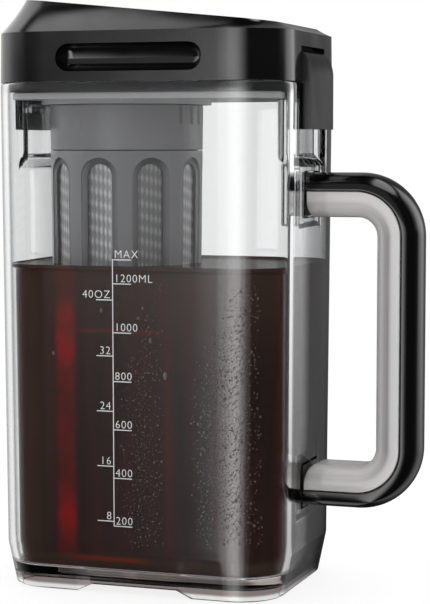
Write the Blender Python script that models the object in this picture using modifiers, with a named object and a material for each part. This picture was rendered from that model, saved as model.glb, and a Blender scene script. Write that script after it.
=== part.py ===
# Cold brew coffee maker: a clear jug with a C handle, a black lid held by two snap latches,
# a flip-up pour cap, and a slotted filter that hangs from the lid by a bayonet.
# Metres, +Z up. X runs along the broad faces with the handle at +X, and the front face is at -Y.
# Places below are measured from the ground at the centre of the jug's base. At the end one empty
# carries everything, so that the world's origin is on the ground under the middle of the whole object.

import math

import bmesh
import bpy
from mathutils import Matrix, Vector

# Fits and cuts
GAP = 0.0003
OVERRUN = 0.002
WELD = 0.00001
CORNER_SEGMENTS = 8
ROUND_STEPS = 63

# Jug
JUG_WIDTH = 0.1266
JUG_DEPTH = 0.0950
JUG_HEIGHT = 0.2083
JUG_CORNER_RADIUS = 0.022
JUG_WALL = 0.0034
JUG_DRAFT_SLOPE = 0.0067
FLOOR_HEIGHT = 0.0093
FLOOR_THICKNESS = 0.0040
FLOOR_FILLET = 0.0030
FLOOR_FILLET_STEPS = 3
SKIRT_TAPER_HEIGHT = 0.017
SKIRT_TAPER_INSET = 0.0034
SKIRT_WALL = 0.0030
FOOT_CUTOUT_HEIGHT = 0.0030
FOOT_CUTOUT_LENGTH = 0.0370
FOOT_RAMP_LENGTH = 0.0066

# Pockets for the latches, in both narrow walls
POCKET_DEPTH = 0.0050
POCKET_SIDE_CLEARANCE = 0.0024
POCKET_HEIGHT = 0.0340
CATCH_RIB_WIDTH = 0.0300
CATCH_RIB_REACH = 0.0016
CATCH_RIB_THICKNESS = 0.0038
CATCH_RIB_DROP = 0.0078

# Handle
HANDLE_REACH = 0.0472
HANDLE_TOP_DROP = 0.0023
HANDLE_BOTTOM = 0.0339
HANDLE_WIDTH = 0.0220
HANDLE_SHELL_THICKNESS = 0.0076
HANDLE_INLAY_THICKNESS = 0.0105
HANDLE_CORNER_RADIUS = 0.0260
HANDLE_SHELL_ROUND = 0.0060
HANDLE_INLAY_ROUND = 0.0045
HANDLE_BEND_STEPS = 9
HANDLE_EDGE_STEPS = 4
SOCKET_DEPTH = 0.0046
PAD_INSET = 0.0004

# Lid cover
LID_BAND_HEIGHT = 0.0202
LID_BAND_DRAFT = 0.0003
LID_WALL = 0.0025
LID_TOP_WALL = 0.0028
LID_PEAK_RISE = 0.0140
LID_LOW_RISE = 0.0031
TOP_INSET_SPOUT = 0.0110
TOP_INSET_HANDLE = 0.0062
TOP_INSET_SIDE = 0.0072
TOP_CORNER_RADIUS = 0.0140
SHOULDER_HEIGHT_SHARE = 0.5
SHOULDER_INSET_SHARE = 0.57
GRIP_LENGTH = 0.0624
GRIP_RADIUS = 0.0056
GRIP_WALL = 0.0020
GRIP_HEIGHT = 0.0096
GRIP_STEPS = 24
GRIP_END_STEPS = 5

# Latches
LATCH_WIDTH = 0.0332
LATCH_PROUD = 0.0039
LATCH_THICKNESS = 0.0052
LATCH_BOTTOM_DROP = 0.0191
LATCH_BARREL_RADIUS = 0.0046
LATCH_PIVOT_INSET = 0.0025
LATCH_PIVOT_HEIGHT = 0.0084
LATCH_BULGE_DROP = 0.0060
LATCH_BARREL_STEPS = 12
LATCH_EDGE_ROUND = 0.0006
LATCH_CORE_DEPTH = 0.0030
LATCH_CORE_WIDTH = 0.0125
LATCH_CORE_HEIGHT = 0.0115
LATCH_CORE_SPACING = 0.0150
NIB_HEIGHT = 0.0036
NIB_RAMP = 0.0020
LATCH_SLOT_HEIGHT = 0.0014
LATCH_PIN_RADIUS = 0.0012
LATCH_PIN_BITE = 0.0031
LATCH_CHEEK = 0.0046
LATCH_RECESS_CLEARANCE = 0.0004
PIN_STEPS = 16

# Pour opening and its cap, in the frame of the sloped top
SPOUT_OFFSET = 0.0080
CAP_LENGTH = 0.0259
CAP_WIDTH = 0.0280
CAP_THICKNESS = 0.0024
CAP_FRONT_REACH = 0.0053
CAP_CORNER_RADIUS = 0.0040
CAP_BARREL_RADIUS = 0.0020
CAP_SWING_CLEARANCE = 0.0007
CAP_BARREL_CLEARANCE = 0.0004
CAP_PIN_RADIUS = 0.0009
CAP_PIN_BITE = 0.0026
POUR_LENGTH = 0.0120
POUR_WIDTH = 0.0190
POUR_FRONT_REACH = 0.0025
POUR_CORNER_RADIUS = 0.0040
CAP_SEAL_CLEARANCE = 0.0006
CAP_SEAL_DEPTH = 0.0023
SPOUT_BLOCK_DEPTH = 0.0070
SPOUT_BLOCK_MARGIN = 0.0047
LIP_WIDTH = 0.0120
LIP_DEPTH = 0.0012

# Plug that goes into the mouth
PLUG_PLATE_THICKNESS = 0.0014
PLUG_FLANGE_BOTTOM_DROP = 0.0069
PLUG_FLANGE_THICKNESS = 0.0024
PLUG_FLANGE_INSET = 0.0014
PLUG_SKIRT_WALL = 0.0020
GASKET_THICKNESS = 0.0018
HUB_WALL = 0.0021
HUB_SHOULDER = 0.0021
HUB_BOTTOM_DROP = 0.0086
BAYONET_LEDGE_REACH = 0.0013
BAYONET_LEDGE_HEIGHT = 0.0027
BAYONET_COUNT = 3
BAYONET_GAP_ANGLE = math.radians(38)
BAYONET_TURN = math.radians(50)
POUR_SLOT_COUNT = 3
POUR_SLOT_PITCH = math.radians(6)
POUR_SLOT_WIDTH = 0.0020
POUR_SLOT_LENGTH = 0.0052
POUR_SLOT_MARGIN = 0.0008

# Filter
FILTER_END_CLEARANCE = 0.0042
FILTER_TOP_RADIUS = 0.0323
FILTER_BOTTOM_RADIUS = 0.0305
FILTER_FLOOR_CLEARANCE = 0.0053
NECK_WALL = 0.0018
NECK_HEIGHT = 0.0059
COLLAR_HEIGHT = 0.0186
SPIGOT_LENGTH = 0.0041
SPIGOT_WALL = 0.0016
LUG_HEIGHT = 0.0020
LUG_ANGLE = math.radians(30)
COLLAR_SEAL_WALL = 0.0034
CAGE_WALL = 0.0020
WINDOW_COUNT = 9
WINDOW_WIDTH = 0.0108
WINDOW_TOP_MARGIN = 0.0054
WINDOW_BOTTOM_MARGIN = 0.0050
WINDOW_END_STEPS = 8
WINDOW_FRAME_MARGIN = 0.0026
WINDOW_FRAME_DEPTH = 0.0015
MESH_WALL = 0.0005
BASE_HEIGHT = 0.0114
BASE_FLOOR_THICKNESS = 0.0024
BASE_EDGE_CHAMFER = 0.0015
BASE_RIM_WIDTH = 0.0040
BASE_SEAL_HEIGHT = 0.0010
BASE_SEAL_WIDTH = 0.0017
FLUTE_COUNT = 5
FLUTE_PITCH = math.radians(12)
FLUTE_WIDTH = 0.0028
FLUTE_DEPTH = 0.0007
FLUTE_LENGTH = 0.0077

# Places worked out from the sizes above
LID_BOTTOM = JUG_HEIGHT + GAP
BAND_TOP = LID_BOTTOM + LID_BAND_HEIGHT
BAND_HALF_X = JUG_WIDTH / 2 - LID_BAND_DRAFT
BAND_HALF_Y = JUG_DEPTH / 2 - LID_BAND_DRAFT
TOP_SPOUT_X = TOP_INSET_SPOUT - BAND_HALF_X
TOP_HANDLE_X = BAND_HALF_X - TOP_INSET_HANDLE
TOP_SLOPE = (LID_PEAK_RISE - LID_LOW_RISE) / (TOP_HANDLE_X - TOP_SPOUT_X)
TOP_ANGLE = math.atan(TOP_SLOPE)
POCKET_WIDTH = LATCH_WIDTH + POCKET_SIDE_CLEARANCE * 2
POCKET_LEDGE_HEIGHT = JUG_HEIGHT - POCKET_HEIGHT
POCKET_FLOOR_X = JUG_WIDTH / 2 - POCKET_DEPTH
MOUTH_HALF_X = JUG_WIDTH / 2 - JUG_WALL
MOUTH_HALF_Y = JUG_DEPTH / 2 - JUG_WALL
MOUTH_RADIUS = JUG_CORNER_RADIUS - JUG_WALL
MOUTH_NOTCH_X = POCKET_FLOOR_X - JUG_WALL
MOUTH_NOTCH_Y = POCKET_WIDTH / 2 + JUG_WALL
PLATE_BOTTOM = LID_BOTTOM + GAP
PLATE_TOP = PLATE_BOTTOM + PLUG_PLATE_THICKNESS
FLANGE_BOTTOM = LID_BOTTOM - PLUG_FLANGE_BOTTOM_DROP
FLANGE_TOP = FLANGE_BOTTOM + PLUG_FLANGE_THICKNESS
FILTER_X = FILTER_TOP_RADIUS + FILTER_END_CLEARANCE - MOUTH_NOTCH_X
HUB_BOTTOM = LID_BOTTOM - HUB_BOTTOM_DROP
HUB_NECK_RADIUS = MOUTH_NOTCH_X - GASKET_THICKNESS - GAP * 3 + FILTER_X
HUB_RADIUS = HUB_NECK_RADIUS + HUB_SHOULDER
HUB_INNER_RADIUS = HUB_NECK_RADIUS - HUB_WALL
LEDGE_RADIUS = HUB_INNER_RADIUS - BAYONET_LEDGE_REACH
NECK_RADIUS = LEDGE_RADIUS - GAP
COLLAR_TOP = HUB_BOTTOM - GAP
NECK_TOP = COLLAR_TOP + NECK_HEIGHT
COLLAR_BOTTOM = COLLAR_TOP - COLLAR_HEIGHT
FILTER_BOTTOM = FLOOR_HEIGHT + FILTER_FLOOR_CLEARANCE
CAGE_TOP = COLLAR_BOTTOM - GAP
CAGE_BOTTOM = FILTER_BOTTOM + BASE_HEIGHT
WINDOW_TOP = CAGE_TOP - WINDOW_TOP_MARGIN
WINDOW_BOTTOM = CAGE_BOTTOM + WINDOW_BOTTOM_MARGIN
LATCH_PIVOT_X = JUG_WIDTH / 2 - LATCH_PIVOT_INSET
LATCH_PIVOT_Z = LID_BOTTOM + LATCH_PIVOT_HEIGHT
LATCH_OUTER_X = JUG_WIDTH / 2 + LATCH_PROUD
LATCH_INNER_X = LATCH_OUTER_X - LATCH_THICKNESS
LATCH_RECESS_X = LATCH_PIVOT_X - LATCH_BARREL_RADIUS - LATCH_RECESS_CLEARANCE
LATCH_RECESS_TOP = LATCH_PIVOT_Z + LATCH_BARREL_RADIUS + LATCH_SLOT_HEIGHT
CATCH_RIB_TOP = JUG_HEIGHT - CATCH_RIB_DROP
CATCH_RIB_BOTTOM = CATCH_RIB_TOP - CATCH_RIB_THICKNESS
CATCH_RIB_X = POCKET_FLOOR_X + CATCH_RIB_REACH
HANDLE_TOP = POCKET_LEDGE_HEIGHT - HANDLE_TOP_DROP
HANDLE_OUTER_X = JUG_WIDTH / 2 + HANDLE_REACH
ARM_HEIGHT = HANDLE_SHELL_THICKNESS + HANDLE_INLAY_THICKNESS
CAP_PIVOT_U = CAP_LENGTH - CAP_FRONT_REACH - CAP_BARREL_RADIUS
CAP_SEAT_DEPTH = CAP_THICKNESS + GAP
MESH_TOP = COLLAR_BOTTOM - SPIGOT_LENGTH - GAP
BASE_TOP = CAGE_BOTTOM - BASE_SEAL_HEIGHT - GAP * 2
MESH_BOTTOM = BASE_TOP + GAP
MIDDLE_X = (HANDLE_OUTER_X - LATCH_OUTER_X) / 2


def clear_scene():
    for obj in list(bpy.data.objects):
        bpy.data.objects.remove(obj, do_unlink=True)


def new_collection(name):
    collection = bpy.data.collections.new(name)
    bpy.context.scene.collection.children.link(collection)
    return collection


clear_scene()
PARTS = new_collection("cold_brew_coffee_maker")
CUTTERS = new_collection("cutters")


def make_material(name, colour, roughness, metallic=0.0, transmission=0.0):
    material = bpy.data.materials.new(name)
    material.use_nodes = True
    shader = material.node_tree.nodes["Principled BSDF"]
    shader.inputs["Base Color"].default_value = (*colour, 1.0)
    shader.inputs["Roughness"].default_value = roughness
    shader.inputs["Metallic"].default_value = metallic
    shader.inputs["Transmission Weight"].default_value = transmission
    return material


def new_object(name, data, collection):
    obj = bpy.data.objects.new(name, data)
    collection.objects.link(obj)
    if collection is CUTTERS:
        obj.hide_render = True
        obj.display_type = 'WIRE'
    return obj


def object_from_bmesh(name, bm, collection):
    bmesh.ops.recalc_face_normals(bm, faces=bm.faces)
    mesh = bpy.data.meshes.new(name)
    bm.to_mesh(mesh)
    bm.free()
    return new_object(name, mesh, collection)


def finish(obj, material):
    obj.data.materials.append(material)
    obj.data.shade_smooth()
    obj.data.set_sharp_from_angle(angle=math.radians(30))
    return obj


def arc(centre, radius, start, end, steps):
    angles = [start + (end - start) * step / steps for step in range(steps + 1)]
    return [(centre[0] + radius * math.cos(a), centre[1] + radius * math.sin(a)) for a in angles]


def rounded_outline(x_min, x_max, half_y, radius, steps=CORNER_SEGMENTS):
    quarter = math.pi / 2
    corners = [(x_max - radius, radius - half_y), (x_max - radius, half_y - radius),
               (x_min + radius, half_y - radius), (x_min + radius, radius - half_y)]
    points = []
    for turn, corner in enumerate(corners, start=-1):
        points += arc(corner, radius, quarter * turn, quarter * (turn + 1), steps)
    return points


def notched_outline(inset):
    # The mouth's outline moved inward: a rounded rectangle that steps round both pockets
    half_x = MOUTH_HALF_X - inset
    half_y = MOUTH_HALF_Y - inset
    radius = MOUTH_RADIUS - inset
    notch_x = MOUTH_NOTCH_X - inset
    notch_y = MOUTH_NOTCH_Y + inset
    straight = half_y - radius
    quarter = math.pi / 2
    end = math.asin(max(0.0, notch_y - straight) / radius)
    centre_x = half_x - radius
    south_east = arc((centre_x, -straight), radius, -quarter, -end, CORNER_SEGMENTS)
    north_east = arc((centre_x, straight), radius, end, quarter, CORNER_SEGMENTS)
    east = [(notch_x, -notch_y), (notch_x, notch_y)]
    if notch_y < straight:
        east = [(half_x, -notch_y)] + east + [(half_x, notch_y)]
    half = south_east + east + north_east
    return half + [(-x, -y) for x, y in half]


def at_height(outline, height):
    return [(x, y, height) for x, y in outline]


def loft(name, rings, collection):
    bm = bmesh.new()
    loops = [[bm.verts.new(point) for point in ring] for ring in rings]
    for lower, upper in zip(loops, loops[1:]):
        for index, vert in enumerate(lower):
            after = (index + 1) % len(lower)
            bm.faces.new((vert, lower[after], upper[after], upper[index]))
    bm.faces.new(list(reversed(loops[0])))
    bm.faces.new(loops[-1])
    return object_from_bmesh(name, bm, collection)


def as_mesh(obj, collection):
    bpy.context.view_layer.update()
    evaluated = obj.evaluated_get(bpy.context.evaluated_depsgraph_get())
    mesh = bpy.data.meshes.new_from_object(evaluated)
    bm = bmesh.new()
    bm.from_mesh(mesh)
    bmesh.ops.remove_doubles(bm, verts=bm.verts, dist=WELD)
    bmesh.ops.recalc_face_normals(bm, faces=bm.faces)
    bm.to_mesh(mesh)
    bm.free()
    name = obj.name
    matrix = obj.matrix_world.copy()
    bpy.data.objects.remove(obj, do_unlink=True)
    solid = new_object(name, mesh, collection)
    solid.matrix_world = matrix
    return solid


def flat_solid(name, outlines, thickness, collection, matrix=Matrix()):
    # A filled 2D curve, centred on its own plane and extruded by half its thickness each way
    curve = bpy.data.curves.new(name, 'CURVE')
    curve.dimensions = '2D'
    curve.fill_mode = 'BOTH'
    curve.extrude = thickness / 2
    for outline in outlines:
        spline = curve.splines.new('POLY')
        spline.points.add(len(outline) - 1)
        for point, (x, y) in zip(spline.points, outline):
            point.co = (x, y, 0, 1)
        spline.use_cyclic_u = True
    obj = new_object(name, curve, collection)
    obj.matrix_world = matrix
    return as_mesh(obj, collection)


def plate(name, outlines, bottom, top, collection):
    middle = Matrix.Translation((0, 0, (bottom + top) / 2))
    return flat_solid(name, outlines, top - bottom, collection, middle)


def side_profile(name, outline, width, collection, side=1, centre_y=0):
    # An outline in X and Z, extruded across Y; side -1 mirrors it to the spout end
    upright = Matrix.Translation((0, centre_y, 0)) @ Matrix.Rotation(math.pi / 2, 4, 'X')
    return flat_solid(name, [[(side * x, z) for x, z in outline]], width, collection, upright)


def turned(name, profile, steps, collection, matrix=Matrix(), closed=True):
    # Profile points are (radius, height), running down the outer side
    mesh = bpy.data.meshes.new(name)
    edges = [(index, index + 1) for index in range(len(profile) - 1)]
    if closed:
        edges.append((len(profile) - 1, 0))
    mesh.from_pydata([(radius, 0, height) for radius, height in profile], edges, [])
    obj = new_object(name, mesh, collection)
    obj.matrix_world = matrix
    screw = obj.modifiers.new("turn", 'SCREW')
    screw.angle = math.tau
    screw.steps = steps
    screw.render_steps = steps
    screw.use_merge_vertices = True
    screw.merge_threshold = WELD
    return as_mesh(obj, collection)


def box(name, low, high, collection, matrix=Matrix()):
    bm = bmesh.new()
    bmesh.ops.create_cube(bm, size=1)
    low = Vector(low)
    high = Vector(high)
    for vert in bm.verts:
        vert.co = Vector([(low[i] + high[i]) / 2 + vert.co[i] * (high[i] - low[i]) for i in range(3)])
    obj = object_from_bmesh(name, bm, collection)
    obj.matrix_world = matrix
    return obj


def cross_pin(name, radius, half_length, centre, collection, matrix=Matrix(), steps=PIN_STEPS):
    # A round bar along Y
    bm = bmesh.new()
    bmesh.ops.create_cone(bm, cap_ends=True, segments=steps, radius1=radius, radius2=radius,
                          depth=half_length * 2)
    obj = object_from_bmesh(name, bm, collection)
    place = Matrix.Translation(centre) @ Matrix.Rotation(math.pi / 2, 4, 'X')
    obj.matrix_world = matrix @ place
    return obj


def boolean(target, tool, operation):
    modifier = target.modifiers.new(f"{operation.lower()}_{tool.name}", 'BOOLEAN')
    modifier.operation = operation
    modifier.solver = 'EXACT'
    modifier.object = tool


def cut(target, *tools):
    for tool in tools:
        boolean(target, tool, 'DIFFERENCE')


def fuse(target, *tools):
    for tool in tools:
        boolean(target, tool, 'UNION')


def bevel(target, width, segments, angle):
    modifier = target.modifiers.new("rounded_edges", 'BEVEL')
    modifier.width = width
    modifier.segments = segments
    modifier.limit_method = 'ANGLE'
    modifier.angle_limit = angle


def taper_at(height):
    return SKIRT_TAPER_INSET * max(0.0, 1 - height / SKIRT_TAPER_HEIGHT)


def jug_inset_at(height):
    return JUG_DRAFT_SLOPE * (JUG_HEIGHT - height) + taper_at(height)


def jug_face_x(height):
    return JUG_WIDTH / 2 - jug_inset_at(height)


def jug_ring(height, wall):
    inset = jug_inset_at(height) + wall
    half_x = JUG_WIDTH / 2 - inset
    radius = JUG_CORNER_RADIUS - taper_at(height) - wall
    return at_height(rounded_outline(-half_x, half_x, JUG_DEPTH / 2 - inset, radius), height)


def floor_fillet_at(height):
    drop = max(0.0, FLOOR_HEIGHT + FLOOR_FILLET - height)
    return FLOOR_FILLET - math.sqrt(max(0.0, FLOOR_FILLET ** 2 - drop ** 2))


def pocket_profile(floor_x, slope_sum, reach_x):
    top = JUG_HEIGHT + OVERRUN * 2
    return [(floor_x, slope_sum - floor_x), (reach_x, slope_sum - reach_x),
            (reach_x, top), (floor_x, top)]


def arm_spans():
    upper = (HANDLE_TOP - ARM_HEIGHT, HANDLE_TOP)
    lower = (HANDLE_BOTTOM, HANDLE_BOTTOM + ARM_HEIGHT)
    return {"upper": upper, "lower": lower}


def socket_box(name, span, wall, reach):
    face = jug_face_x(sum(span) / 2)
    half_y = HANDLE_WIDTH / 2 + GAP + wall
    low = (face - SOCKET_DEPTH - wall, -half_y, span[0] - GAP - wall)
    high = (face + reach, half_y, span[1] + GAP + wall)
    return box(name, low, high, CUTTERS)


def build_jug_cavity():
    fillet_heights = [FLOOR_HEIGHT + FLOOR_FILLET * step / FLOOR_FILLET_STEPS
                      for step in range(FLOOR_FILLET_STEPS + 1)]
    heights = sorted(set(fillet_heights + [SKIRT_TAPER_HEIGHT, JUG_HEIGHT, JUG_HEIGHT + OVERRUN]))
    rings = [jug_ring(z, JUG_WALL + floor_fillet_at(z)) for z in heights if z >= FLOOR_HEIGHT]
    cavity = loft("jug_cavity", rings, CUTTERS)
    slope_sum = JUG_WIDTH / 2 + POCKET_LEDGE_HEIGHT - JUG_WALL * math.sqrt(2)
    outline = pocket_profile(MOUTH_NOTCH_X, slope_sum, JUG_WIDTH / 2)
    for end, side in (("handle", 1), ("spout", -1)):
        cut(cavity, side_profile(f"jug_bulge_{end}", outline, MOUTH_NOTCH_Y * 2, CUTTERS, side))
    for arm, span in arm_spans().items():
        cut(cavity, socket_box(f"socket_bulge_{arm}", span, JUG_WALL, 0))
    return cavity


def build_jug():
    heights = [0, SKIRT_TAPER_HEIGHT, JUG_HEIGHT]
    jug = loft("jug_body", [jug_ring(z, 0) for z in heights], PARTS)
    underside = FLOOR_HEIGHT - FLOOR_THICKNESS
    skirt_rings = [jug_ring(z, SKIRT_WALL) for z in (-OVERRUN, underside)]
    cut(jug, loft("skirt_hollow", skirt_rings, CUTTERS))
    half = FOOT_CUTOUT_LENGTH / 2
    flare = FOOT_RAMP_LENGTH / FOOT_CUTOUT_HEIGHT
    cut_outline = [(half + FOOT_RAMP_LENGTH + flare * OVERRUN, -OVERRUN), (half, FOOT_CUTOUT_HEIGHT),
                   (-half, FOOT_CUTOUT_HEIGHT), (-half - FOOT_RAMP_LENGTH - flare * OVERRUN, -OVERRUN)]
    cut(jug, side_profile("foot_cutout", cut_outline, JUG_DEPTH, CUTTERS))
    slope_sum = JUG_WIDTH / 2 + POCKET_LEDGE_HEIGHT
    pocket = pocket_profile(POCKET_FLOOR_X, slope_sum, JUG_WIDTH / 2 + OVERRUN)
    for end, side in (("handle", 1), ("spout", -1)):
        cut(jug, side_profile(f"latch_pocket_{end}", pocket, POCKET_WIDTH, CUTTERS, side))
    for arm, span in arm_spans().items():
        cut(jug, socket_box(f"handle_socket_{arm}", span, 0, OVERRUN))
    cut(jug, build_jug_cavity())
    root_x = POCKET_FLOOR_X - JUG_WALL / 2
    rib = [(root_x, CATCH_RIB_BOTTOM), (CATCH_RIB_X, CATCH_RIB_BOTTOM),
           (CATCH_RIB_X, CATCH_RIB_TOP - CATCH_RIB_REACH), (POCKET_FLOOR_X, CATCH_RIB_TOP),
           (root_x, CATCH_RIB_TOP)]
    for end, side in (("handle", 1), ("spout", -1)):
        fuse(jug, side_profile(f"catch_rib_{end}", rib, CATCH_RIB_WIDTH, CUTTERS, side))
    return finish(jug, make_material("clear_copolyester", (0.93, 0.95, 0.96), 0.03, 0, 1))


def handle_path(start_offset):
    # The line where shell and inlay meet, from the upper root round to the lower one
    shell = HANDLE_SHELL_THICKNESS
    top = HANDLE_TOP - shell
    bottom = HANDLE_BOTTOM + shell
    outer = HANDLE_OUTER_X - shell
    radius = HANDLE_CORNER_RADIUS - shell
    quarter = math.pi / 2
    start = (jug_face_x(top) + start_offset, top)
    end = (jug_face_x(bottom) + start_offset, bottom)
    upper_bend = arc((outer - radius, top - radius), radius, quarter, 0, HANDLE_BEND_STEPS)
    lower_bend = arc((outer - radius, bottom + radius), radius, 0, -quarter, HANDLE_BEND_STEPS)
    return [start] + upper_bend + lower_bend + [end]


def swept(name, path, section, collection):
    # The section lies square to the path: its first value points out of the C, its second along Y
    profile = bpy.data.curves.new(f"{name}_section", 'CURVE')
    profile.dimensions = '2D'
    spline = profile.splines.new('POLY')
    spline.points.add(len(section) - 1)
    for point, (out, across) in zip(spline.points, section):
        point.co = (-out, across, 0, 1)
    spline.use_cyclic_u = True
    guide = new_object(f"{name}_section", profile, CUTTERS)
    rail = bpy.data.curves.new(name, 'CURVE')
    rail.dimensions = '2D'
    rail.bevel_mode = 'OBJECT'
    rail.bevel_object = guide
    rail.use_fill_caps = True
    spline = rail.splines.new('POLY')
    spline.points.add(len(path) - 1)
    for point, (x, z) in zip(spline.points, path):
        point.co = (x, z, 0, 1)
    obj = new_object(name, rail, collection)
    obj.matrix_world = Matrix.Rotation(math.pi / 2, 4, 'X')
    return as_mesh(obj, collection)


def half_section(near, far, edge_round):
    # A bar's section from the parting line out to its far side, with round far corners
    half = HANDLE_WIDTH / 2
    sign = math.copysign(1, far)
    depth = abs(far)
    quarter = math.pi / 2
    right = arc((depth - edge_round, half - edge_round), edge_round, 0, quarter, HANDLE_EDGE_STEPS)
    left = [(out, -across) for out, across in reversed(right)]
    points = left + right + [(abs(near), half), (abs(near), -half)]
    return [(sign * out, across) for out, across in points]


def build_handle_shell():
    section = half_section(GAP / 2, HANDLE_SHELL_THICKNESS, HANDLE_SHELL_ROUND)
    shell = swept("handle_shell", handle_path(GAP * 2 - SOCKET_DEPTH), section, PARTS)
    half_y = HANDLE_WIDTH / 2 - PAD_INSET
    for arm, span in arm_spans().items():
        face = jug_face_x(sum(span) / 2)
        low = (face - SOCKET_DEPTH + GAP, -half_y, span[0] + PAD_INSET)
        high = (face + GAP, half_y, span[1] - PAD_INSET)
        fuse(shell, box(f"root_pad_{arm}", low, high, CUTTERS))
    return finish(shell, make_material("black_handle_plastic", (0.012, 0.012, 0.013), 0.25))


def build_handle_inlay():
    section = half_section(-GAP / 2, -HANDLE_INLAY_THICKNESS, HANDLE_INLAY_ROUND)
    inlay = swept("handle_inlay", handle_path(GAP * 3), section, PARTS)
    return finish(inlay, make_material("clear_inlay", (0.9, 0.91, 0.92), 0.15, 0, 1))


def top_height(x):
    return BAND_TOP + LID_PEAK_RISE - TOP_SLOPE * (x - TOP_SPOUT_X)


def lid_rings(wall, top_wall, bottom):
    band_half_x = BAND_HALF_X - wall
    band_half_y = BAND_HALF_Y - wall
    base_half_x = JUG_WIDTH / 2 - wall
    radius = JUG_CORNER_RADIUS - wall
    base = rounded_outline(-base_half_x, base_half_x, JUG_DEPTH / 2 - wall, radius)
    band = rounded_outline(-band_half_x, band_half_x, band_half_y, radius - LID_BAND_DRAFT)
    crown = rounded_outline(TOP_SPOUT_X + wall, TOP_HANDLE_X - wall, BAND_HALF_Y - TOP_INSET_SIDE - wall,
                            TOP_CORNER_RADIUS - wall)
    band_ring = at_height(band, BAND_TOP - top_wall / 2)
    crown_ring = [(x, y, top_height(x) - top_wall) for x, y in crown]
    shoulder_ring = []
    for low, high in zip(band_ring, crown_ring):
        side = Vector(low).lerp(Vector(high), SHOULDER_INSET_SHARE)
        height = low[2] + (high[2] - low[2]) * SHOULDER_HEIGHT_SHARE
        shoulder_ring.append((side.x, side.y, height))
    return [at_height(base, bottom), band_ring, shoulder_ring, crown_ring]


def grip_capsule(name, radius, side):
    # A round-ended bar along X, centred on the band's broad face
    straight = GRIP_LENGTH / 2 - GRIP_RADIUS
    quarter = math.pi / 2
    upper = arc((0, straight), radius, quarter, 0, GRIP_END_STEPS)
    lower = [(x, -z) for x, z in reversed(upper)]
    centre = (0, side * BAND_HALF_Y, LID_BOTTOM + GRIP_HEIGHT)
    place = Matrix.Translation(centre) @ Matrix.Rotation(quarter, 4, 'Y')
    return turned(name, upper + lower, GRIP_STEPS, CUTTERS, place, closed=False)


def spout_frame():
    # Origin on the sloped top, u down the slope, v along Y, w square to the top
    x = TOP_SPOUT_X + SPOUT_OFFSET
    return Matrix.Translation((x, 0, top_height(x))) @ Matrix.Rotation(TOP_ANGLE, 4, 'Y')


def spout_box(name, u_span, half_v, w_span):
    low = (u_span[0], -half_v, w_span[0])
    high = (u_span[1], half_v, w_span[1])
    return box(name, low, high, CUTTERS, spout_frame())


def spout_plate(name, outline, w_span, collection):
    middle = Matrix.Translation((0, 0, sum(w_span) / 2))
    return flat_solid(name, [outline], w_span[1] - w_span[0], collection, spout_frame() @ middle)


def pour_outline(clearance):
    front = clearance - POUR_FRONT_REACH
    back = POUR_LENGTH - POUR_FRONT_REACH - clearance
    half_v = POUR_WIDTH / 2 - clearance
    return rounded_outline(front, back, half_v, POUR_CORNER_RADIUS - clearance, CORNER_SEGMENTS // 2)


def cap_outline(front, back, half_v, radius):
    # Round at the free end, square at the hinge
    quarter = math.pi / 2
    steps = CORNER_SEGMENTS // 2
    left = arc((front + radius, half_v - radius), radius, quarter, quarter * 2, steps)
    right = arc((front + radius, radius - half_v), radius, quarter * 2, quarter * 3, steps)
    return [(back, -half_v), (back, half_v)] + left + right


def build_lid_cavity():
    cavity = loft("lid_cavity", lid_rings(LID_WALL, LID_TOP_WALL, LID_BOTTOM - OVERRUN), CUTTERS)
    for end, side in (("front", -1), ("back", 1)):
        cut(cavity, grip_capsule(f"grip_bulge_{end}", GRIP_RADIUS + GRIP_WALL, side))
    half_y = LATCH_WIDTH / 2 + GAP + LATCH_CHEEK
    for end, side in (("handle", 1), ("spout", -1)):
        reach = [side * (LATCH_RECESS_X - LID_WALL), side * JUG_WIDTH / 2]
        low = (min(reach), -half_y, LID_BOTTOM - OVERRUN * 2)
        high = (max(reach), half_y, LATCH_RECESS_TOP + LID_WALL)
        cut(cavity, box(f"latch_block_{end}", low, high, CUTTERS))
    margin = SPOUT_BLOCK_MARGIN
    u_span = (-CAP_FRONT_REACH - margin, CAP_LENGTH - CAP_FRONT_REACH + margin)
    half_v = CAP_WIDTH / 2 + margin
    cut(cavity, spout_box("spout_block", u_span, half_v, (-SPOUT_BLOCK_DEPTH, OVERRUN)))
    return cavity


def cut_pour_opening(cover):
    front = -CAP_FRONT_REACH - GAP
    back = CAP_PIVOT_U + CAP_BARREL_RADIUS + CAP_SWING_CLEARANCE
    half_v = CAP_WIDTH / 2 + GAP
    seat = cap_outline(front, back, half_v, CAP_CORNER_RADIUS + GAP)
    cut(cover, spout_plate("cap_seat", seat, (-CAP_SEAT_DEPTH, OVERRUN), CUTTERS))
    trough = CAP_BARREL_RADIUS + CAP_BARREL_CLEARANCE
    cut(cover, spout_box("hinge_trough", (CAP_PIVOT_U - trough, CAP_PIVOT_U + trough),
                         (CAP_WIDTH + GAP) / 2, (-CAP_BARREL_RADIUS - trough, -CAP_SEAT_DEPTH / 2)))
    cut(cover, spout_plate("pour_hole", pour_outline(0), (-SPOUT_BLOCK_DEPTH - OVERRUN, 0), CUTTERS))
    cut(cover, spout_box("pour_lip", (front - SPOUT_OFFSET, front + CAP_CORNER_RADIUS / 2), LIP_WIDTH / 2,
                         (-LIP_DEPTH, OVERRUN)))
    bore = cross_pin("cap_pin_bore", CAP_PIN_RADIUS + GAP, half_v + CAP_PIN_BITE,
                     (CAP_PIVOT_U, 0, -CAP_BARREL_RADIUS), CUTTERS, spout_frame())
    cut(cover, bore)


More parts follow.
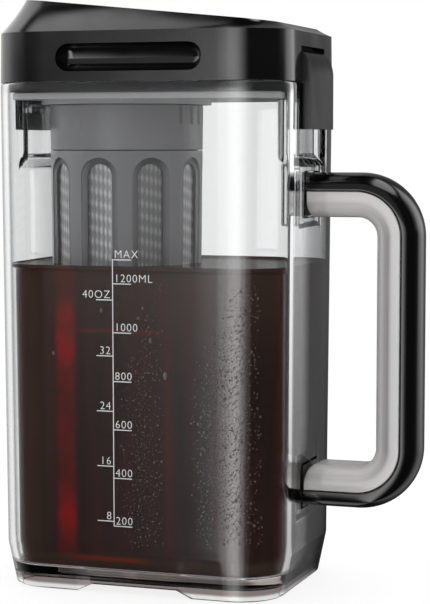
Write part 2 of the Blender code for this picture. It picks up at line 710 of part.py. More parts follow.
def build_lid_cover():
    cover = loft("lid_cover", lid_rings(0, 0, LID_BOTTOM), PARTS)
    cut(cover, build_lid_cavity())
    for end, side in (("front", -1), ("back", 1)):
        cut(cover, grip_capsule(f"grip_recess_{end}", GRIP_RADIUS, side))
    half_y = LATCH_WIDTH / 2 + GAP
    for end, side in (("handle", 1), ("spout", -1)):
        reach = [side * LATCH_RECESS_X, side * (JUG_WIDTH / 2 + OVERRUN)]
        low = (min(reach), -half_y, LID_BOTTOM - OVERRUN)
        high = (max(reach), half_y, LATCH_RECESS_TOP)
        cut(cover, box(f"latch_recess_{end}", low, high, CUTTERS))
        centre = (side * LATCH_PIVOT_X, 0, LATCH_PIVOT_Z)
        cut(cover, cross_pin(f"latch_bore_{end}", LATCH_PIN_RADIUS + GAP, half_y + LATCH_PIN_BITE,
                             centre, CUTTERS))
    cut_pour_opening(cover)
    return finish(cover, make_material("black_lid_plastic", (0.035, 0.035, 0.036), 0.42))


def build_lid_plug():
    plate_half_x = JUG_WIDTH / 2 - LID_WALL - GAP
    plate_half_y = JUG_DEPTH / 2 - LID_WALL - GAP
    plate_radius = JUG_CORNER_RADIUS - LID_WALL - GAP
    outline = rounded_outline(-plate_half_x, plate_half_x, plate_half_y, plate_radius)
    plug = plate("lid_plug", [outline], PLATE_BOTTOM, PLATE_TOP, PARTS)
    core_inset = GAP * 2 + GASKET_THICKNESS
    inner_inset = core_inset + PLUG_SKIRT_WALL
    lap = PLUG_PLATE_THICKNESS / 2
    core = plate("plug_core", [notched_outline(core_inset), notched_outline(inner_inset)],
                 FLANGE_TOP - lap, PLATE_BOTTOM + lap, CUTTERS)
    flange_outlines = [notched_outline(GAP + PLUG_FLANGE_INSET), notched_outline(inner_inset + GAP)]
    flange = plate("plug_flange", flange_outlines, FLANGE_BOTTOM, FLANGE_TOP, CUTTERS)
    ledge_top = HUB_BOTTOM + BAYONET_LEDGE_HEIGHT
    hub_top = PLATE_BOTTOM + lap
    shoulder = FLANGE_TOP - lap
    hub_profile = [(HUB_INNER_RADIUS, hub_top), (HUB_NECK_RADIUS, hub_top), (HUB_NECK_RADIUS, shoulder),
                   (HUB_RADIUS, shoulder), (HUB_RADIUS, HUB_BOTTOM), (LEDGE_RADIUS, HUB_BOTTOM),
                   (LEDGE_RADIUS, ledge_top), (HUB_INNER_RADIUS, ledge_top)]
    hub = filter_part("plug_hub", hub_profile, CUTTERS)
    room_radius = HUB_NECK_RADIUS - HUB_WALL / 2
    room_profile = [(0, PLATE_TOP), (room_radius, PLATE_TOP), (room_radius, HUB_BOTTOM), (0, HUB_BOTTOM)]
    room = filter_part("hub_room", room_profile, CUTTERS, closed=False)
    for ring in (core, flange):
        cut(ring, room)
    fuse(plug, core, flange, hub)
    half_y = LATCH_WIDTH / 2 + GAP * 2 + LATCH_CHEEK
    for end, side in (("handle", 1), ("spout", -1)):
        reach = [side * (LATCH_RECESS_X - LID_WALL - GAP), side * JUG_WIDTH / 2]
        low = (min(reach), -half_y, LID_BOTTOM - GAP)
        high = (max(reach), half_y, PLATE_TOP + OVERRUN)
        cut(plug, box(f"plate_notch_{end}", low, high, CUTTERS))
    for index in range(BAYONET_COUNT):
        angle = math.tau * index / BAYONET_COUNT + math.pi / BAYONET_COUNT + BAYONET_TURN
        gap = sector(f"bayonet_gap_{index}", LEDGE_RADIUS - OVERRUN, HUB_INNER_RADIUS + GAP, angle,
                     BAYONET_GAP_ANGLE, HUB_BOTTOM - OVERRUN, ledge_top + OVERRUN)
        cut(plug, gap)
    near = HUB_RADIUS + POUR_SLOT_MARGIN
    low = (near, -POUR_SLOT_WIDTH / 2, PLATE_BOTTOM - OVERRUN)
    high = (near + POUR_SLOT_LENGTH, POUR_SLOT_WIDTH / 2, PLATE_TOP + OVERRUN)
    corner = math.atan2(MOUTH_HALF_Y - MOUTH_RADIUS, MOUTH_RADIUS - MOUTH_HALF_X - FILTER_X)
    for row, side in (("front", -1), ("back", 1)):
        for index in range(POUR_SLOT_COUNT):
            angle = side * (corner + POUR_SLOT_PITCH * (index - (POUR_SLOT_COUNT - 1) / 2))
            place = Matrix.Translation((FILTER_X, 0, 0)) @ Matrix.Rotation(angle, 4, 'Z')
            cut(plug, box(f"pour_slot_{row}_{index}", low, high, CUTTERS, place))
    return finish(plug, make_material("black_plug_plastic", (0.04, 0.04, 0.042), 0.45))


def sector(name, inner, outer, middle, span, bottom, top):
    # A piece of a flat ring about the filter's axis
    steps = CORNER_SEGMENTS
    start = middle - span / 2
    outline = arc((FILTER_X, 0), outer, start, start + span, steps)
    outline += arc((FILTER_X, 0), inner, start + span, start, steps)
    return plate(name, [outline], bottom, top, CUTTERS)


def build_lid_gasket():
    outlines = [notched_outline(GAP), notched_outline(GAP + GASKET_THICKNESS)]
    gasket = plate("lid_gasket", outlines, FLANGE_TOP + GAP, PLATE_BOTTOM - GAP * 3, PARTS)
    return finish(gasket, make_material("dark_silicone", (0.06, 0.055, 0.055), 0.6))


def build_spout_cap():
    half_v = CAP_WIDTH / 2
    outline = cap_outline(-CAP_FRONT_REACH, CAP_PIVOT_U, half_v, CAP_CORNER_RADIUS)
    cap = spout_plate("spout_cap", outline, (-CAP_THICKNESS, 0), PARTS)
    pivot = (CAP_PIVOT_U, 0, -CAP_BARREL_RADIUS)
    fuse(cap, cross_pin("cap_barrel", CAP_BARREL_RADIUS, half_v, pivot, CUTTERS, spout_frame()))
    cut(cap, cross_pin("cap_barrel_bore", CAP_PIN_RADIUS + GAP, half_v + OVERRUN, pivot, CUTTERS,
                       spout_frame()))
    return finish(cap, make_material("black_cap_plastic", (0.03, 0.03, 0.031), 0.4))


def build_spout_cap_seal():
    top = -CAP_THICKNESS - GAP
    outline = pour_outline(CAP_SEAL_CLEARANCE)
    seal = spout_plate("spout_cap_seal", outline, (top - CAP_SEAL_DEPTH, top), PARTS)
    return finish(seal, make_material("grey_silicone", (0.2, 0.2, 0.2), 0.6))


def build_spout_cap_pin():
    half_length = CAP_WIDTH / 2 + CAP_PIN_BITE
    pin = cross_pin("spout_cap_pin", CAP_PIN_RADIUS, half_length,
                    (CAP_PIVOT_U, 0, -CAP_BARREL_RADIUS), PARTS, spout_frame())
    return finish(pin, make_material("steel_cap_pin", (0.6, 0.6, 0.6), 0.3, 1))


def latch_outline():
    # Barrel round the pivot, then the inner face with its nib, the foot and the outer face
    bottom = LID_BOTTOM - LATCH_BOTTOM_DROP
    inner = LATCH_INNER_X
    nib_x = CATCH_RIB_X + GAP
    nib_top = CATCH_RIB_BOTTOM - GAP
    pivot = (LATCH_PIVOT_X, LATCH_PIVOT_Z)
    end_angle = math.pi * 3 / 2 + math.asin((inner - LATCH_PIVOT_X) / LATCH_BARREL_RADIUS)
    barrel = arc(pivot, LATCH_BARREL_RADIUS, 0, end_angle, LATCH_BARREL_STEPS)
    nib = [(inner, nib_top + NIB_RAMP / 2), (nib_x, nib_top), (nib_x, nib_top - NIB_HEIGHT + NIB_RAMP),
           (inner, nib_top - NIB_HEIGHT - NIB_RAMP / 2)]
    outer = [(LATCH_OUTER_X, bottom), (LATCH_OUTER_X, LATCH_PIVOT_Z - LATCH_BULGE_DROP)]
    return barrel + nib + [(inner, bottom)] + outer


def build_latch(end, side):
    latch = side_profile(f"latch_{end}", latch_outline(), LATCH_WIDTH, PARTS, side)
    bevel(latch, LATCH_EDGE_ROUND, 2, math.radians(50))
    centre = (side * LATCH_PIVOT_X, 0, LATCH_PIVOT_Z)
    cut(latch, cross_pin(f"latch_eye_{end}", LATCH_PIN_RADIUS + GAP, LATCH_WIDTH, centre, CUTTERS))
    core_top = LATCH_PIVOT_Z - LATCH_BARREL_RADIUS
    reach = [side * (LATCH_INNER_X - OVERRUN), side * (LATCH_INNER_X + LATCH_CORE_DEPTH)]
    for index, place in enumerate((-LATCH_CORE_SPACING / 2, LATCH_CORE_SPACING / 2)):
        low = (min(reach), place - LATCH_CORE_WIDTH / 2, core_top - LATCH_CORE_HEIGHT)
        high = (max(reach), place + LATCH_CORE_WIDTH / 2, core_top)
        cut(latch, box(f"latch_core_{end}_{index}", low, high, CUTTERS))
    return finish(latch, make_material(f"black_latch_plastic_{end}", (0.03, 0.03, 0.031), 0.4))


def build_latch_pin(end, side):
    centre = (side * LATCH_PIVOT_X, 0, LATCH_PIVOT_Z)
    half_length = LATCH_WIDTH / 2 + LATCH_PIN_BITE
    pin = cross_pin(f"latch_pin_{end}", LATCH_PIN_RADIUS, half_length, centre, PARTS)
    return finish(pin, make_material(f"steel_latch_pin_{end}", (0.6, 0.6, 0.6), 0.3, 1))


def filter_radius(height):
    share = (height - FILTER_BOTTOM) / (COLLAR_TOP - FILTER_BOTTOM)
    return FILTER_BOTTOM_RADIUS + (FILTER_TOP_RADIUS - FILTER_BOTTOM_RADIUS) * share


def filter_part(name, profile, collection=PARTS, closed=True):
    centre = Matrix.Translation((FILTER_X, 0, 0))
    return turned(name, profile, ROUND_STEPS, collection, centre, closed)


def build_filter_collar():
    spigot_outer = filter_radius(COLLAR_BOTTOM) - CAGE_WALL - GAP
    spigot_inner = spigot_outer - SPIGOT_WALL
    spigot_bottom = COLLAR_BOTTOM - SPIGOT_LENGTH
    bore = NECK_RADIUS - NECK_WALL
    profile = [(NECK_RADIUS, NECK_TOP), (NECK_RADIUS, COLLAR_TOP), (filter_radius(COLLAR_TOP), COLLAR_TOP),
               (filter_radius(COLLAR_BOTTOM), COLLAR_BOTTOM), (spigot_outer, COLLAR_BOTTOM),
               (spigot_outer, spigot_bottom), (spigot_inner, spigot_bottom),
               (bore, COLLAR_BOTTOM),
               (bore, NECK_TOP)]
    collar = filter_part("filter_collar", profile)
    lug_bottom = HUB_BOTTOM + BAYONET_LEDGE_HEIGHT + GAP
    for index in range(BAYONET_COUNT):
        angle = math.tau * index / BAYONET_COUNT + math.pi / BAYONET_COUNT
        fuse(collar, sector(f"bayonet_lug_{index}", NECK_RADIUS - NECK_WALL / 2, HUB_INNER_RADIUS - GAP,
                            angle, LUG_ANGLE, lug_bottom, lug_bottom + LUG_HEIGHT))
    for half_turn in range(2):
        for index in range(FLUTE_COUNT):
            angle = math.pi * half_turn + FLUTE_PITCH * (index - (FLUTE_COUNT - 1) / 2)
            place = Matrix.Translation((FILTER_X, 0, 0)) @ Matrix.Rotation(angle, 4, 'Z')
            low = (FILTER_TOP_RADIUS - FLUTE_DEPTH, -FLUTE_WIDTH / 2, COLLAR_TOP - FLUTE_LENGTH)
            high = (FILTER_TOP_RADIUS + OVERRUN, FLUTE_WIDTH / 2, COLLAR_TOP + OVERRUN)
            cut(collar, box(f"flute_{half_turn}_{index}", low, high, CUTTERS, place))
    return finish(collar, make_material("dark_collar_plastic", (0.05, 0.05, 0.053), 0.4))


def build_filter_collar_seal():
    outer = HUB_INNER_RADIUS - GAP
    top = PLATE_BOTTOM - GAP
    bottom = NECK_TOP + GAP
    inner = outer - COLLAR_SEAL_WALL
    seal = filter_part("filter_collar_seal", [(outer, top), (outer, bottom), (inner, bottom), (inner, top)])
    return finish(seal, make_material("collar_seal_silicone", (0.2, 0.2, 0.2), 0.6))


def stadium(half_width, half_length):
    upper = arc((0, half_length - half_width), half_width, 0, math.pi, WINDOW_END_STEPS)
    return upper + [(-x, -z) for x, z in upper]


def window_cutter(name, margin, depth, angle):
    # A round-ended prism that leans with the filter's wall, from outside it to a depth under it
    middle = (WINDOW_TOP + WINDOW_BOTTOM) / 2
    lean = math.atan2(FILTER_TOP_RADIUS - FILTER_BOTTOM_RADIUS, COLLAR_TOP - FILTER_BOTTOM)
    outline = stadium(WINDOW_WIDTH / 2 + margin, (WINDOW_TOP - WINDOW_BOTTOM) / 2 + margin)
    push = Matrix.Translation((0, (depth - OVERRUN) / 2 - filter_radius(middle), middle))
    turn = Matrix.Rotation(angle + math.pi / 2, 4, 'Z')
    stand = Matrix.Rotation(math.pi / 2 + lean, 4, 'X')
    matrix = Matrix.Translation((FILTER_X, 0, 0)) @ turn @ push @ stand
    return flat_solid(name, [outline], depth + OVERRUN, CUTTERS, matrix)


def build_filter_cage():
    top_radius = filter_radius(CAGE_TOP)
    bottom_radius = filter_radius(CAGE_BOTTOM)
    profile = [(top_radius, CAGE_TOP), (bottom_radius, CAGE_BOTTOM),
               (bottom_radius - CAGE_WALL, CAGE_BOTTOM), (top_radius - CAGE_WALL, CAGE_TOP)]
    cage = filter_part("filter_cage", profile)
    for index in range(WINDOW_COUNT):
        angle = math.tau * index / WINDOW_COUNT - math.pi / 2
        frame = window_cutter(f"window_frame_{index}", WINDOW_FRAME_MARGIN, WINDOW_FRAME_DEPTH, angle)
        hole = window_cutter(f"window_{index}", 0, CAGE_WALL + OVERRUN, angle)
        cut(cage, frame, hole)
    return finish(cage, make_material("dark_cage_plastic", (0.05, 0.05, 0.053), 0.4))


def build_filter_mesh():
    top_radius = filter_radius(MESH_TOP) - CAGE_WALL - GAP
    bottom_radius = filter_radius(MESH_BOTTOM) - CAGE_WALL - GAP
    profile = [(top_radius, MESH_TOP), (bottom_radius, MESH_BOTTOM),
               (bottom_radius - MESH_WALL, MESH_BOTTOM), (top_radius - MESH_WALL, MESH_TOP)]
    mesh = filter_part("filter_mesh", profile)
    return finish(mesh, make_material("steel_mesh", (0.55, 0.56, 0.57), 0.35, 1))


def build_filter_base():
    radius = filter_radius(BASE_TOP)
    chamfer = BASE_EDGE_CHAMFER
    floor = FILTER_BOTTOM + BASE_FLOOR_THICKNESS
    rim = radius - BASE_RIM_WIDTH
    profile = [(0, floor), (rim, floor), (rim, BASE_TOP), (radius, BASE_TOP),
               (radius, FILTER_BOTTOM + chamfer), (radius - chamfer, FILTER_BOTTOM), (0, FILTER_BOTTOM)]
    base = filter_part("filter_base", profile, closed=False)
    return finish(base, make_material("dark_base_plastic", (0.05, 0.05, 0.053), 0.4))


def build_filter_base_seal():
    outer = filter_radius(CAGE_BOTTOM) - GAP
    top = CAGE_BOTTOM - GAP
    bottom = BASE_TOP + GAP
    inner = outer - BASE_SEAL_WIDTH
    seal = filter_part("filter_base_seal", [(outer, top), (outer, bottom), (inner, bottom), (inner, top)])
    return finish(seal, make_material("base_seal_silicone", (0.2, 0.2, 0.2), 0.6))


def add_axis(name, location, rotation_matrix, children):
    # An empty on a moving piece's axis carries that piece
    empty = bpy.data.objects.new(name, None)
    PARTS.objects.link(empty)
    empty.matrix_world = Matrix.Translation(location) @ rotation_matrix
    bpy.context.view_layer.update()
    for child in children:
        place = child.matrix_world.copy()
        child.parent = empty
        child.matrix_world = place
    return empty


def centre_on_origin():
    root = new_object("coffee_maker_origin", None, PARTS)
    for collection in (PARTS, CUTTERS):
        for obj in collection.objects:
            if obj.parent is None and obj is not root:
                obj.parent = root
    root.location.x = -MIDDLE_X


def build_all():
    build_jug()
    build_handle_shell()
    build_handle_inlay()
    build_lid_cover()
    build_lid_plug()
    build_lid_gasket()
    cap_pieces = [build_spout_cap(), build_spout_cap_seal()]
    build_spout_cap_pin()
    frame = spout_frame()
    cap_pivot = frame @ Vector((CAP_PIVOT_U, 0, -CAP_BARREL_RADIUS))
    add_axis("spout_cap_axis", cap_pivot, frame.to_3x3().to_4x4(), cap_pieces)
    for end, side in (("handle_side", 1), ("spout_side", -1)):
        latch = build_latch(end, side)
        build_latch_pin(end, side)
        add_axis(f"latch_axis_{end}", (side * LATCH_PIVOT_X, 0, LATCH_PIVOT_Z), Matrix(), [latch])
    filter_pieces = [build_filter_collar(), build_filter_cage(), build_filter_mesh(),
                     build_filter_base(), build_filter_base_seal()]
    build_filter_collar_seal()
    add_axis("filter_axis", (FILTER_X, 0, COLLAR_TOP), Matrix(), filter_pieces)
    centre_on_origin()


build_all()
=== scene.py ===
import math

import bmesh
import bpy
import numpy as np
from mathutils import Matrix, Vector


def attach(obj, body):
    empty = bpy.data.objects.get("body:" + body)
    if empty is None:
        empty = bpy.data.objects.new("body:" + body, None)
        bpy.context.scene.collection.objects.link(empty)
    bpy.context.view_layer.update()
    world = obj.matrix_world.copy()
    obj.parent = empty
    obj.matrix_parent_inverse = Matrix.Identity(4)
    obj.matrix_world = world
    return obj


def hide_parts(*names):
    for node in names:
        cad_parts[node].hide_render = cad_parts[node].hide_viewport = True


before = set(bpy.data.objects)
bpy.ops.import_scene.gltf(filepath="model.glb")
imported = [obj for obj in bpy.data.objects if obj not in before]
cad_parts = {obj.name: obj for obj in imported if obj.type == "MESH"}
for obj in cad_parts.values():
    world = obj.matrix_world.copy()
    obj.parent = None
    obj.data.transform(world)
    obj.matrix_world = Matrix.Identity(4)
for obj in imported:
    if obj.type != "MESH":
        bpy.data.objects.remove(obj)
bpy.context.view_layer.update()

quarter = math.pi / 2
overrun = 0.002          # how far a cutting tool reaches past the face it opens
gap = 0.0003             # moulded parts stand this far apart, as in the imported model

# Every shape below is worked out in the jug's own frame: its centre line is x = 0 and the ground z = 0.
jugCentreX = -0.02165    # that centre line, seen from under the middle of the whole object
print("frame:", len(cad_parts), "packed nodes")


# Small tools for meshes

def linked(name, data):
    obj = bpy.data.objects.new(name, data)
    bpy.context.scene.collection.objects.link(obj)
    return obj


def objectFrom(name, points, faces):
    mesh = bpy.data.meshes.new(name)
    mesh.from_pydata((np.asarray(points, float) + (jugCentreX, 0, 0)).tolist(), [], faces)
    tidy(mesh)
    return linked(name, mesh)


def solid(name, rings, cyclic=False):
    # Rings of points joined by quads into one closed skin. rings is (rows, columns, 3), each row
    # closed on itself; the first and last rows get a lid, or are joined when cyclic is true.
    index = np.arange(rings.size // 3).reshape(rings.shape[:2])
    lower, upper = (index, np.roll(index, -1, 0)) if cyclic else (index[:-1], index[1:])
    quads = np.stack([lower, np.roll(lower, -1, 1), np.roll(upper, -1, 1), upper], -1).reshape(-1, 4)
    ends = [] if cyclic else [index[0][::-1].tolist(), index[-1].tolist()]
    return objectFrom(name, rings.reshape(-1, 3), quads.tolist() + ends)


def tidy(mesh, dissolve=0.0):
    # Doubled points merged, faces turned outwards, and on request flat faces made whole again
    bm = bmesh.new()
    bm.from_mesh(mesh)
    bmesh.ops.remove_doubles(bm, verts=bm.verts, dist=2e-6)
    if dissolve:
        bmesh.ops.dissolve_limit(bm, angle_limit=dissolve, verts=bm.verts, edges=bm.edges)
    bmesh.ops.recalc_face_normals(bm, faces=bm.faces)
    bm.to_mesh(mesh)
    bm.free()


def plainMesh(obj):
    # The mesh that an object shows, with its modifiers worked in or its text filled
    bpy.context.view_layer.update()
    return bpy.data.meshes.new_from_object(obj.evaluated_get(bpy.context.evaluated_depsgraph_get()))


def carve(target, *tools, operation="DIFFERENCE"):
    # Cuts every tool out of the target, or joins it on, and keeps the plain mesh
    for tool in tools:
        step = target.modifiers.new("carve", "BOOLEAN")
        step.operation, step.solver, step.object = operation, "EXACT", tool
    mesh = plainMesh(target)
    target.modifiers.clear()
    target.data = mesh
    tidy(mesh)
    for tool in tools:
        bpy.data.objects.remove(tool, do_unlink=True)


def dress(obj, material, body, slot=None, stands=(), edge=0.0, segments=3, smooth=32):
    # Gives a piece its finish, small moulded edge radii, its body and the nodes that it stands for
    obj.data.materials.clear()
    obj.data.materials.append(material)
    obj.data.shade_smooth()
    obj.data.set_sharp_from_angle(angle=math.radians(smooth))
    if edge:
        bevel = obj.modifiers.new("mouldedEdges", "BEVEL")
        bevel.width, bevel.segments = edge, segments
        bevel.limit_method, bevel.angle_limit = "ANGLE", math.radians(smooth)
        bevel.harden_normals = True
    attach(obj, body)
    if stands:
        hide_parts(*stands)


def packedCopy(node, name):
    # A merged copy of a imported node, its flat faces made whole so that its edges can be rounded
    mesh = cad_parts[node].data.copy()
    tidy(mesh, dissolve=math.radians(0.4))
    return linked(name, mesh)


def arc(centre, radius, start, end, steps):
    # Points on a circle from one angle to another, ends included
    a = np.linspace(start, end, steps + 1)
    return np.stack([centre[0] + radius * np.cos(a), centre[1] + radius * np.sin(a)], -1)


def plan(halfX, halfY, radius, xs, ys, steps=14):
    # A rounded rectangle walked anticlockwise: a quarter circle, then the stations of a side, four
    # times over. A size may be one value for each row; the result is (x and y, rows, columns).
    sizes = np.broadcast_arrays(*np.atleast_1d(halfX, halfY, radius))
    halfX, halfY, radius = (v[:, None] for v in sizes)
    sides = (halfX, ys), (xs[..., ::-1], halfY), (-halfX, ys[..., ::-1]), (xs, -halfY)
    turn = np.linspace(-quarter, 0, steps + 1)
    parts = []
    for k, side in enumerate(sides):
        signX, signY = 1 - k // 2 * 2, 1 if k in (1, 2) else -1
        a = turn + k * quarter
        parts += [np.stack([signX * (halfX - radius) + radius * np.cos(a),
                            signY * (halfY - radius) + radius * np.sin(a)]),
                  np.stack([np.broadcast_to(v, (len(halfX), np.shape(side[k % 2 == 0])[-1])) for v in side])]
    return np.concatenate(parts, 2)


def mirrored(values):
    # The same distances on both sides of zero, in rising order
    values = np.sort(np.asarray(values, float))
    return np.concatenate([-values[values > 0][::-1], values])


def edgeRun(depth, fillet, steps=4):
    # How a face drops by depth round a moulded edge: a convex quarter circle, a wall with a trace of
    # draft, a concave quarter circle. Gives the way along the face and the share of the depth.
    a = np.linspace(0, quarter, steps + 1)
    slant = fillet * 0.1
    way = np.concatenate([fillet * np.sin(a), fillet + slant + fillet * (1 - np.cos(a))]) - fillet
    drop = np.concatenate([fillet * (1 - np.cos(a)), depth - fillet + fillet * np.sin(a)])
    return way, drop / depth


def turned(profile, steps):
    # A closed profile of (radius, height) carried once round the filter's axis
    profile = np.asarray(profile, float)
    a = np.linspace(0, math.tau, steps, endpoint=False)
    x, y = filterSizes["axisX"] + profile[:, :1] * np.cos(a), profile[:, :1] * np.sin(a)
    return np.stack([x, y, profile[:, 1:] + 0 * a], -1)


def rounded(profile, radius, steps=3):
    # A closed profile with each corner replaced by a small arc: the corner is pulled in along both
    # of its sides and bridged by a quadratic curve
    profile = np.asarray(profile, float)
    sides = [np.roll(profile, shift, 0) - profile for shift in (1, -1)]
    lengths = [np.linalg.norm(side, axis=1) for side in sides]
    reach = np.minimum(radius, 0.4 * np.minimum(*lengths))
    start, end = (profile + side / length[:, None] * reach[:, None] for side, length in zip(sides, lengths))
    t = np.linspace(0, 1, steps + 1)[None, :, None]
    curve = (1 - t) ** 2 * start[:, None] + 2 * t * (1 - t) * profile[:, None] + t ** 2 * end[:, None]
    return curve.reshape(-1, 2)


acrossJug = Matrix(((1, 0, 0, 0), (0, 0, 1, 0), (0, 1, 0, 0), (0, 0, 0, 1)))   # x and z, carried along y


def prism(name, outline, low, high, place=acrossJug):
    # An outline in the first two axes of a frame, carried along the third
    flat = np.zeros((2, len(outline), 3))
    flat[..., :2] = outline
    flat[0, :, 2], flat[1, :, 2] = low, high
    matrix = np.array(place)
    return solid(name, flat @ matrix[:3, :3].T + matrix[:3, 3])


def block(name, low, high, place=None):
    # A box between two corners
    (x0, y0, z0), (x1, y1, z1) = low, high
    if place is None:
        return prism(name, [(x0, z0), (x1, z0), (x1, z1), (x0, z1)], y0, y1)
    return prism(name, [(x0, y0), (x1, y0), (x1, y1), (x0, y1)], z0, z1, place)


def crossBar(name, radius, half, centre, place=None):
    # A round bar along y: a circle in the plane across it, carried from one end to the other
    circle = arc((0, 0), radius, 0, math.tau, 32)[:-1]
    if place is None:
        return prism(name, circle + centre, -half, half)
    middle = Matrix.Translation((centre[0], 0, centre[1]))
    return prism(name, circle, -half, half, place @ middle @ Matrix.Rotation(quarter, 4, "X"))


# Small tools for materials

def linear(code):
    # An sRGB hex colour in linear light: straight near black, a power of 2.4 above
    values = [int(code[i:i + 2], 16) / 255 for i in (1, 3, 5)]
    return (*(v / 12.92 if v <= 0.04045 else ((v + 0.055) / 1.055) ** 2.4 for v in values), 1.0)


def addNode(tree, kind, inputs=(), out=0, stops=(), **settings):
    # One node with its settings. Each input, by number or name, gets a value, a hex colour or the
    # output that feeds it; stops are a colour ramp's, its two ends first. Gives one of its outputs.
    node = tree.nodes.new("ShaderNode" + kind)
    for key, value in settings.items():
        setattr(node, key, value)
    for key, value in inputs.items() if isinstance(inputs, dict) else enumerate(inputs):
        if isinstance(value, bpy.types.NodeSocket):
            tree.links.new(value, node.inputs[key])
        else:
            node.inputs[key].default_value = linear(value) if isinstance(value, str) else value
    for index, (at, colour) in enumerate(stops):
        elements = node.color_ramp.elements
        stop = elements[index] if index < 2 else elements.new(at)
        stop.position, stop.color = at, linear(colour) if isinstance(colour, str) else colour
    return node.outputs[out]


def plastic(name, colour, roughness, grain=None, **sockets):
    # A Principled material with its constant values on the shader's own sockets. A grain is fine
    # spark-eroded mould texture: noise of its size lifts the skin by its height, and a cloud 18 mm
    # wide varies the gloss by its spread.
    material = bpy.data.materials.new(name)
    material.use_nodes = True
    tree = material.node_tree
    shader = tree.nodes["Principled BSDF"]
    shader.inputs["Base Color"].default_value = linear(colour)
    shader.inputs["Roughness"].default_value = roughness
    for key, value in sockets.items():
        shader.inputs[key.replace("_", " ")].default_value = value
    if grain:
        size, height, spread = grain
        place = addNode(tree, "TexCoord", out="Object")
        noise = addNode(tree, "TexNoise", {"Vector": place, "Scale": 1 / size, "Detail": 3.0}, "Fac")
        bump = addNode(tree, "Bump", {"Height": noise, "Strength": 0.35, "Distance": height})
        tree.links.new(bump, shader.inputs["Normal"])
        cloud = addNode(tree, "TexNoise", {"Vector": place, "Scale": 1 / 0.018, "Detail": 2.0}, "Fac")
        vary = addNode(tree, "MapRange", (cloud, 0.3, 0.7, roughness - spread, roughness + spread))
        tree.links.new(vary, shader.inputs["Roughness"])
    return material, tree, shader


def jugAxes(tree, centreX=0.0):
    # x, y and z counted from an upright line in the jug's own frame
    place = addNode(tree, "TexCoord", out="Object")
    moved = addNode(tree, "VectorMath", (place, (-jugCentreX - centreX, 0, 0)), operation="ADD")
    return addNode(tree, "SeparateXYZ", (moved,)).node.outputs


def patch(tree, value, centre, half, strength, flat=0.0):
    # A soft patch: strength round the centre, falling to nothing at half either way
    off = addNode(tree, "Math", (value, centre), operation="SUBTRACT")
    away = addNode(tree, "Math", (off,), operation="ABSOLUTE")
    return addNode(tree, "MapRange", (away, flat * half, half, strength, 0.0),
                   interpolation_type="SMOOTHSTEP")


# Materials

sparkGrain = (0.0005, 0.00003, 0.05)     # its size, its height, and how far the gloss varies with it

plainFinishes = {
    # High-gloss ABS from a polished mould: deep black with clean, soft-edged reflections
    "blackAbsPolished": ("#070708", 0.14, (0.006, 0.00002, 0.03), {"IOR": 1.6}),
    # Spark-textured polypropylene: satin black that turns grey where light grazes it
    "blackPolypropyleneTextured": ("#0a0a0b", 0.13, sparkGrain, {"IOR": 1.49, "Specular_IOR_Level": 0.9}),
    "blackPolypropyleneCap": ("#0a0a0b", 0.13, sparkGrain, {"IOR": 1.49, "Specular_IOR_Level": 0.9}),
    "blackPolypropyleneLatch": ("#0c0c0d", 0.2, sparkGrain, {"IOR": 1.49, "Specular_IOR_Level": 0.45}),
    # The same in grey, which the clear wall in front of it darkens
    "greyPolypropylenePlug": ("#e4e3e5", 0.35, sparkGrain, {"IOR": 1.49}),
    # Compression moulded silicone: dull and soft-edged
    "darkSiliconeMoulded": ("#3c3b3b", 0.6, (0.0012, 0.00003, 0.08), {"IOR": 1.41}),
    # Screen-printed white ink: flat, opaque, a little dull
    "whiteInkPrinted": ("#ffffff", 0.55, (0.0004, 0.00001, 0.05), {}),
    # Condensed water: tiny clear domes that catch the light
    "waterCondensed": ("#bdb7b5", 0.18, None, {"IOR": 1.33, "Transmission_Weight": 0.89}),
}


def plainFinish(name):
    colour, roughness, grain, sockets = plainFinishes[name]
    return plastic(name, colour, roughness, grain, **sockets)[0]


def clearCopolyester():
    # Injection moulded copolyester: glassy and nearly colourless, with painted shade where it is seen edge-on
    # in place of dark edge reflections, a painted brownish reflection of the coffee along its thick base, the
    # faint waves of the melt's flow and a little crown on its narrow sides
    material, tree, shader = plastic("clearCopolyesterMoulded", "#f5f6f6", 0.0, IOR=1.55,
                                     Transmission_Weight=1.0)
    _, y, z = jugAxes(tree)
    place = addNode(tree, "TexCoord", out="Object")
    flow = addNode(tree, "TexNoise", {"Vector": place, "Scale": 28.0, "Detail": 1.0}, "Fac")
    waves = addNode(tree, "Bump", {"Height": flow, "Strength": 0.05, "Distance": 0.0004})
    square = addNode(tree, "Math", (y, y), operation="MULTIPLY")
    crown = addNode(tree, "Math", (square, -2.2), operation="MULTIPLY")
    bump = addNode(tree, "Bump", {"Height": crown, "Normal": waves, "Strength": 1.0, "Distance": 1.0})
    tree.links.new(bump, shader.inputs["Normal"])
    # Painted shade: where light enters at a grazing angle the colour darkens towards black, in place of dark
    # edge reflections
    edgeOn = addNode(tree, "LayerWeight", {"Blend": 0.5}, "Facing")
    within = addNode(tree, "NewGeometry", out="Backfacing")
    entering = addNode(tree, "Math", (edgeOn, within), operation="SUBTRACT")
    edgeOnShade = addNode(tree, "ValToRGB", (entering,), "Color",
                   ((0.56, "#f6f7f7"), (1.0, "#2c2c2e"), (0.68, "#d8d8db"), (0.76, "#7c7c7f")))
    # Painted reflection: the thick base plate between these heights is tinted greyish brown, as if it
    # mirrored the coffee
    low, high = jug["floorUnder"], jug["floorTop"]
    base = addNode(tree, "MapRange", (z, low - 0.0038, low - 0.0024), interpolation_type="SMOOTHSTEP")
    upper = addNode(tree, "MapRange", (z, high - 0.0002, high + 0.0006, 1.0, 0.0),
                    interpolation_type="SMOOTHSTEP")
    basePaintedReflection = addNode(tree, "Math", (base, upper), operation="MULTIPLY")
    paintedShading = addNode(tree, "Mix", {0: basePaintedReflection, 6: edgeOnShade, 7: "#948a87"}, 2, data_type="RGBA", blend_type="MULTIPLY")
    tree.links.new(paintedShading, shader.inputs["Base Color"])
    return material


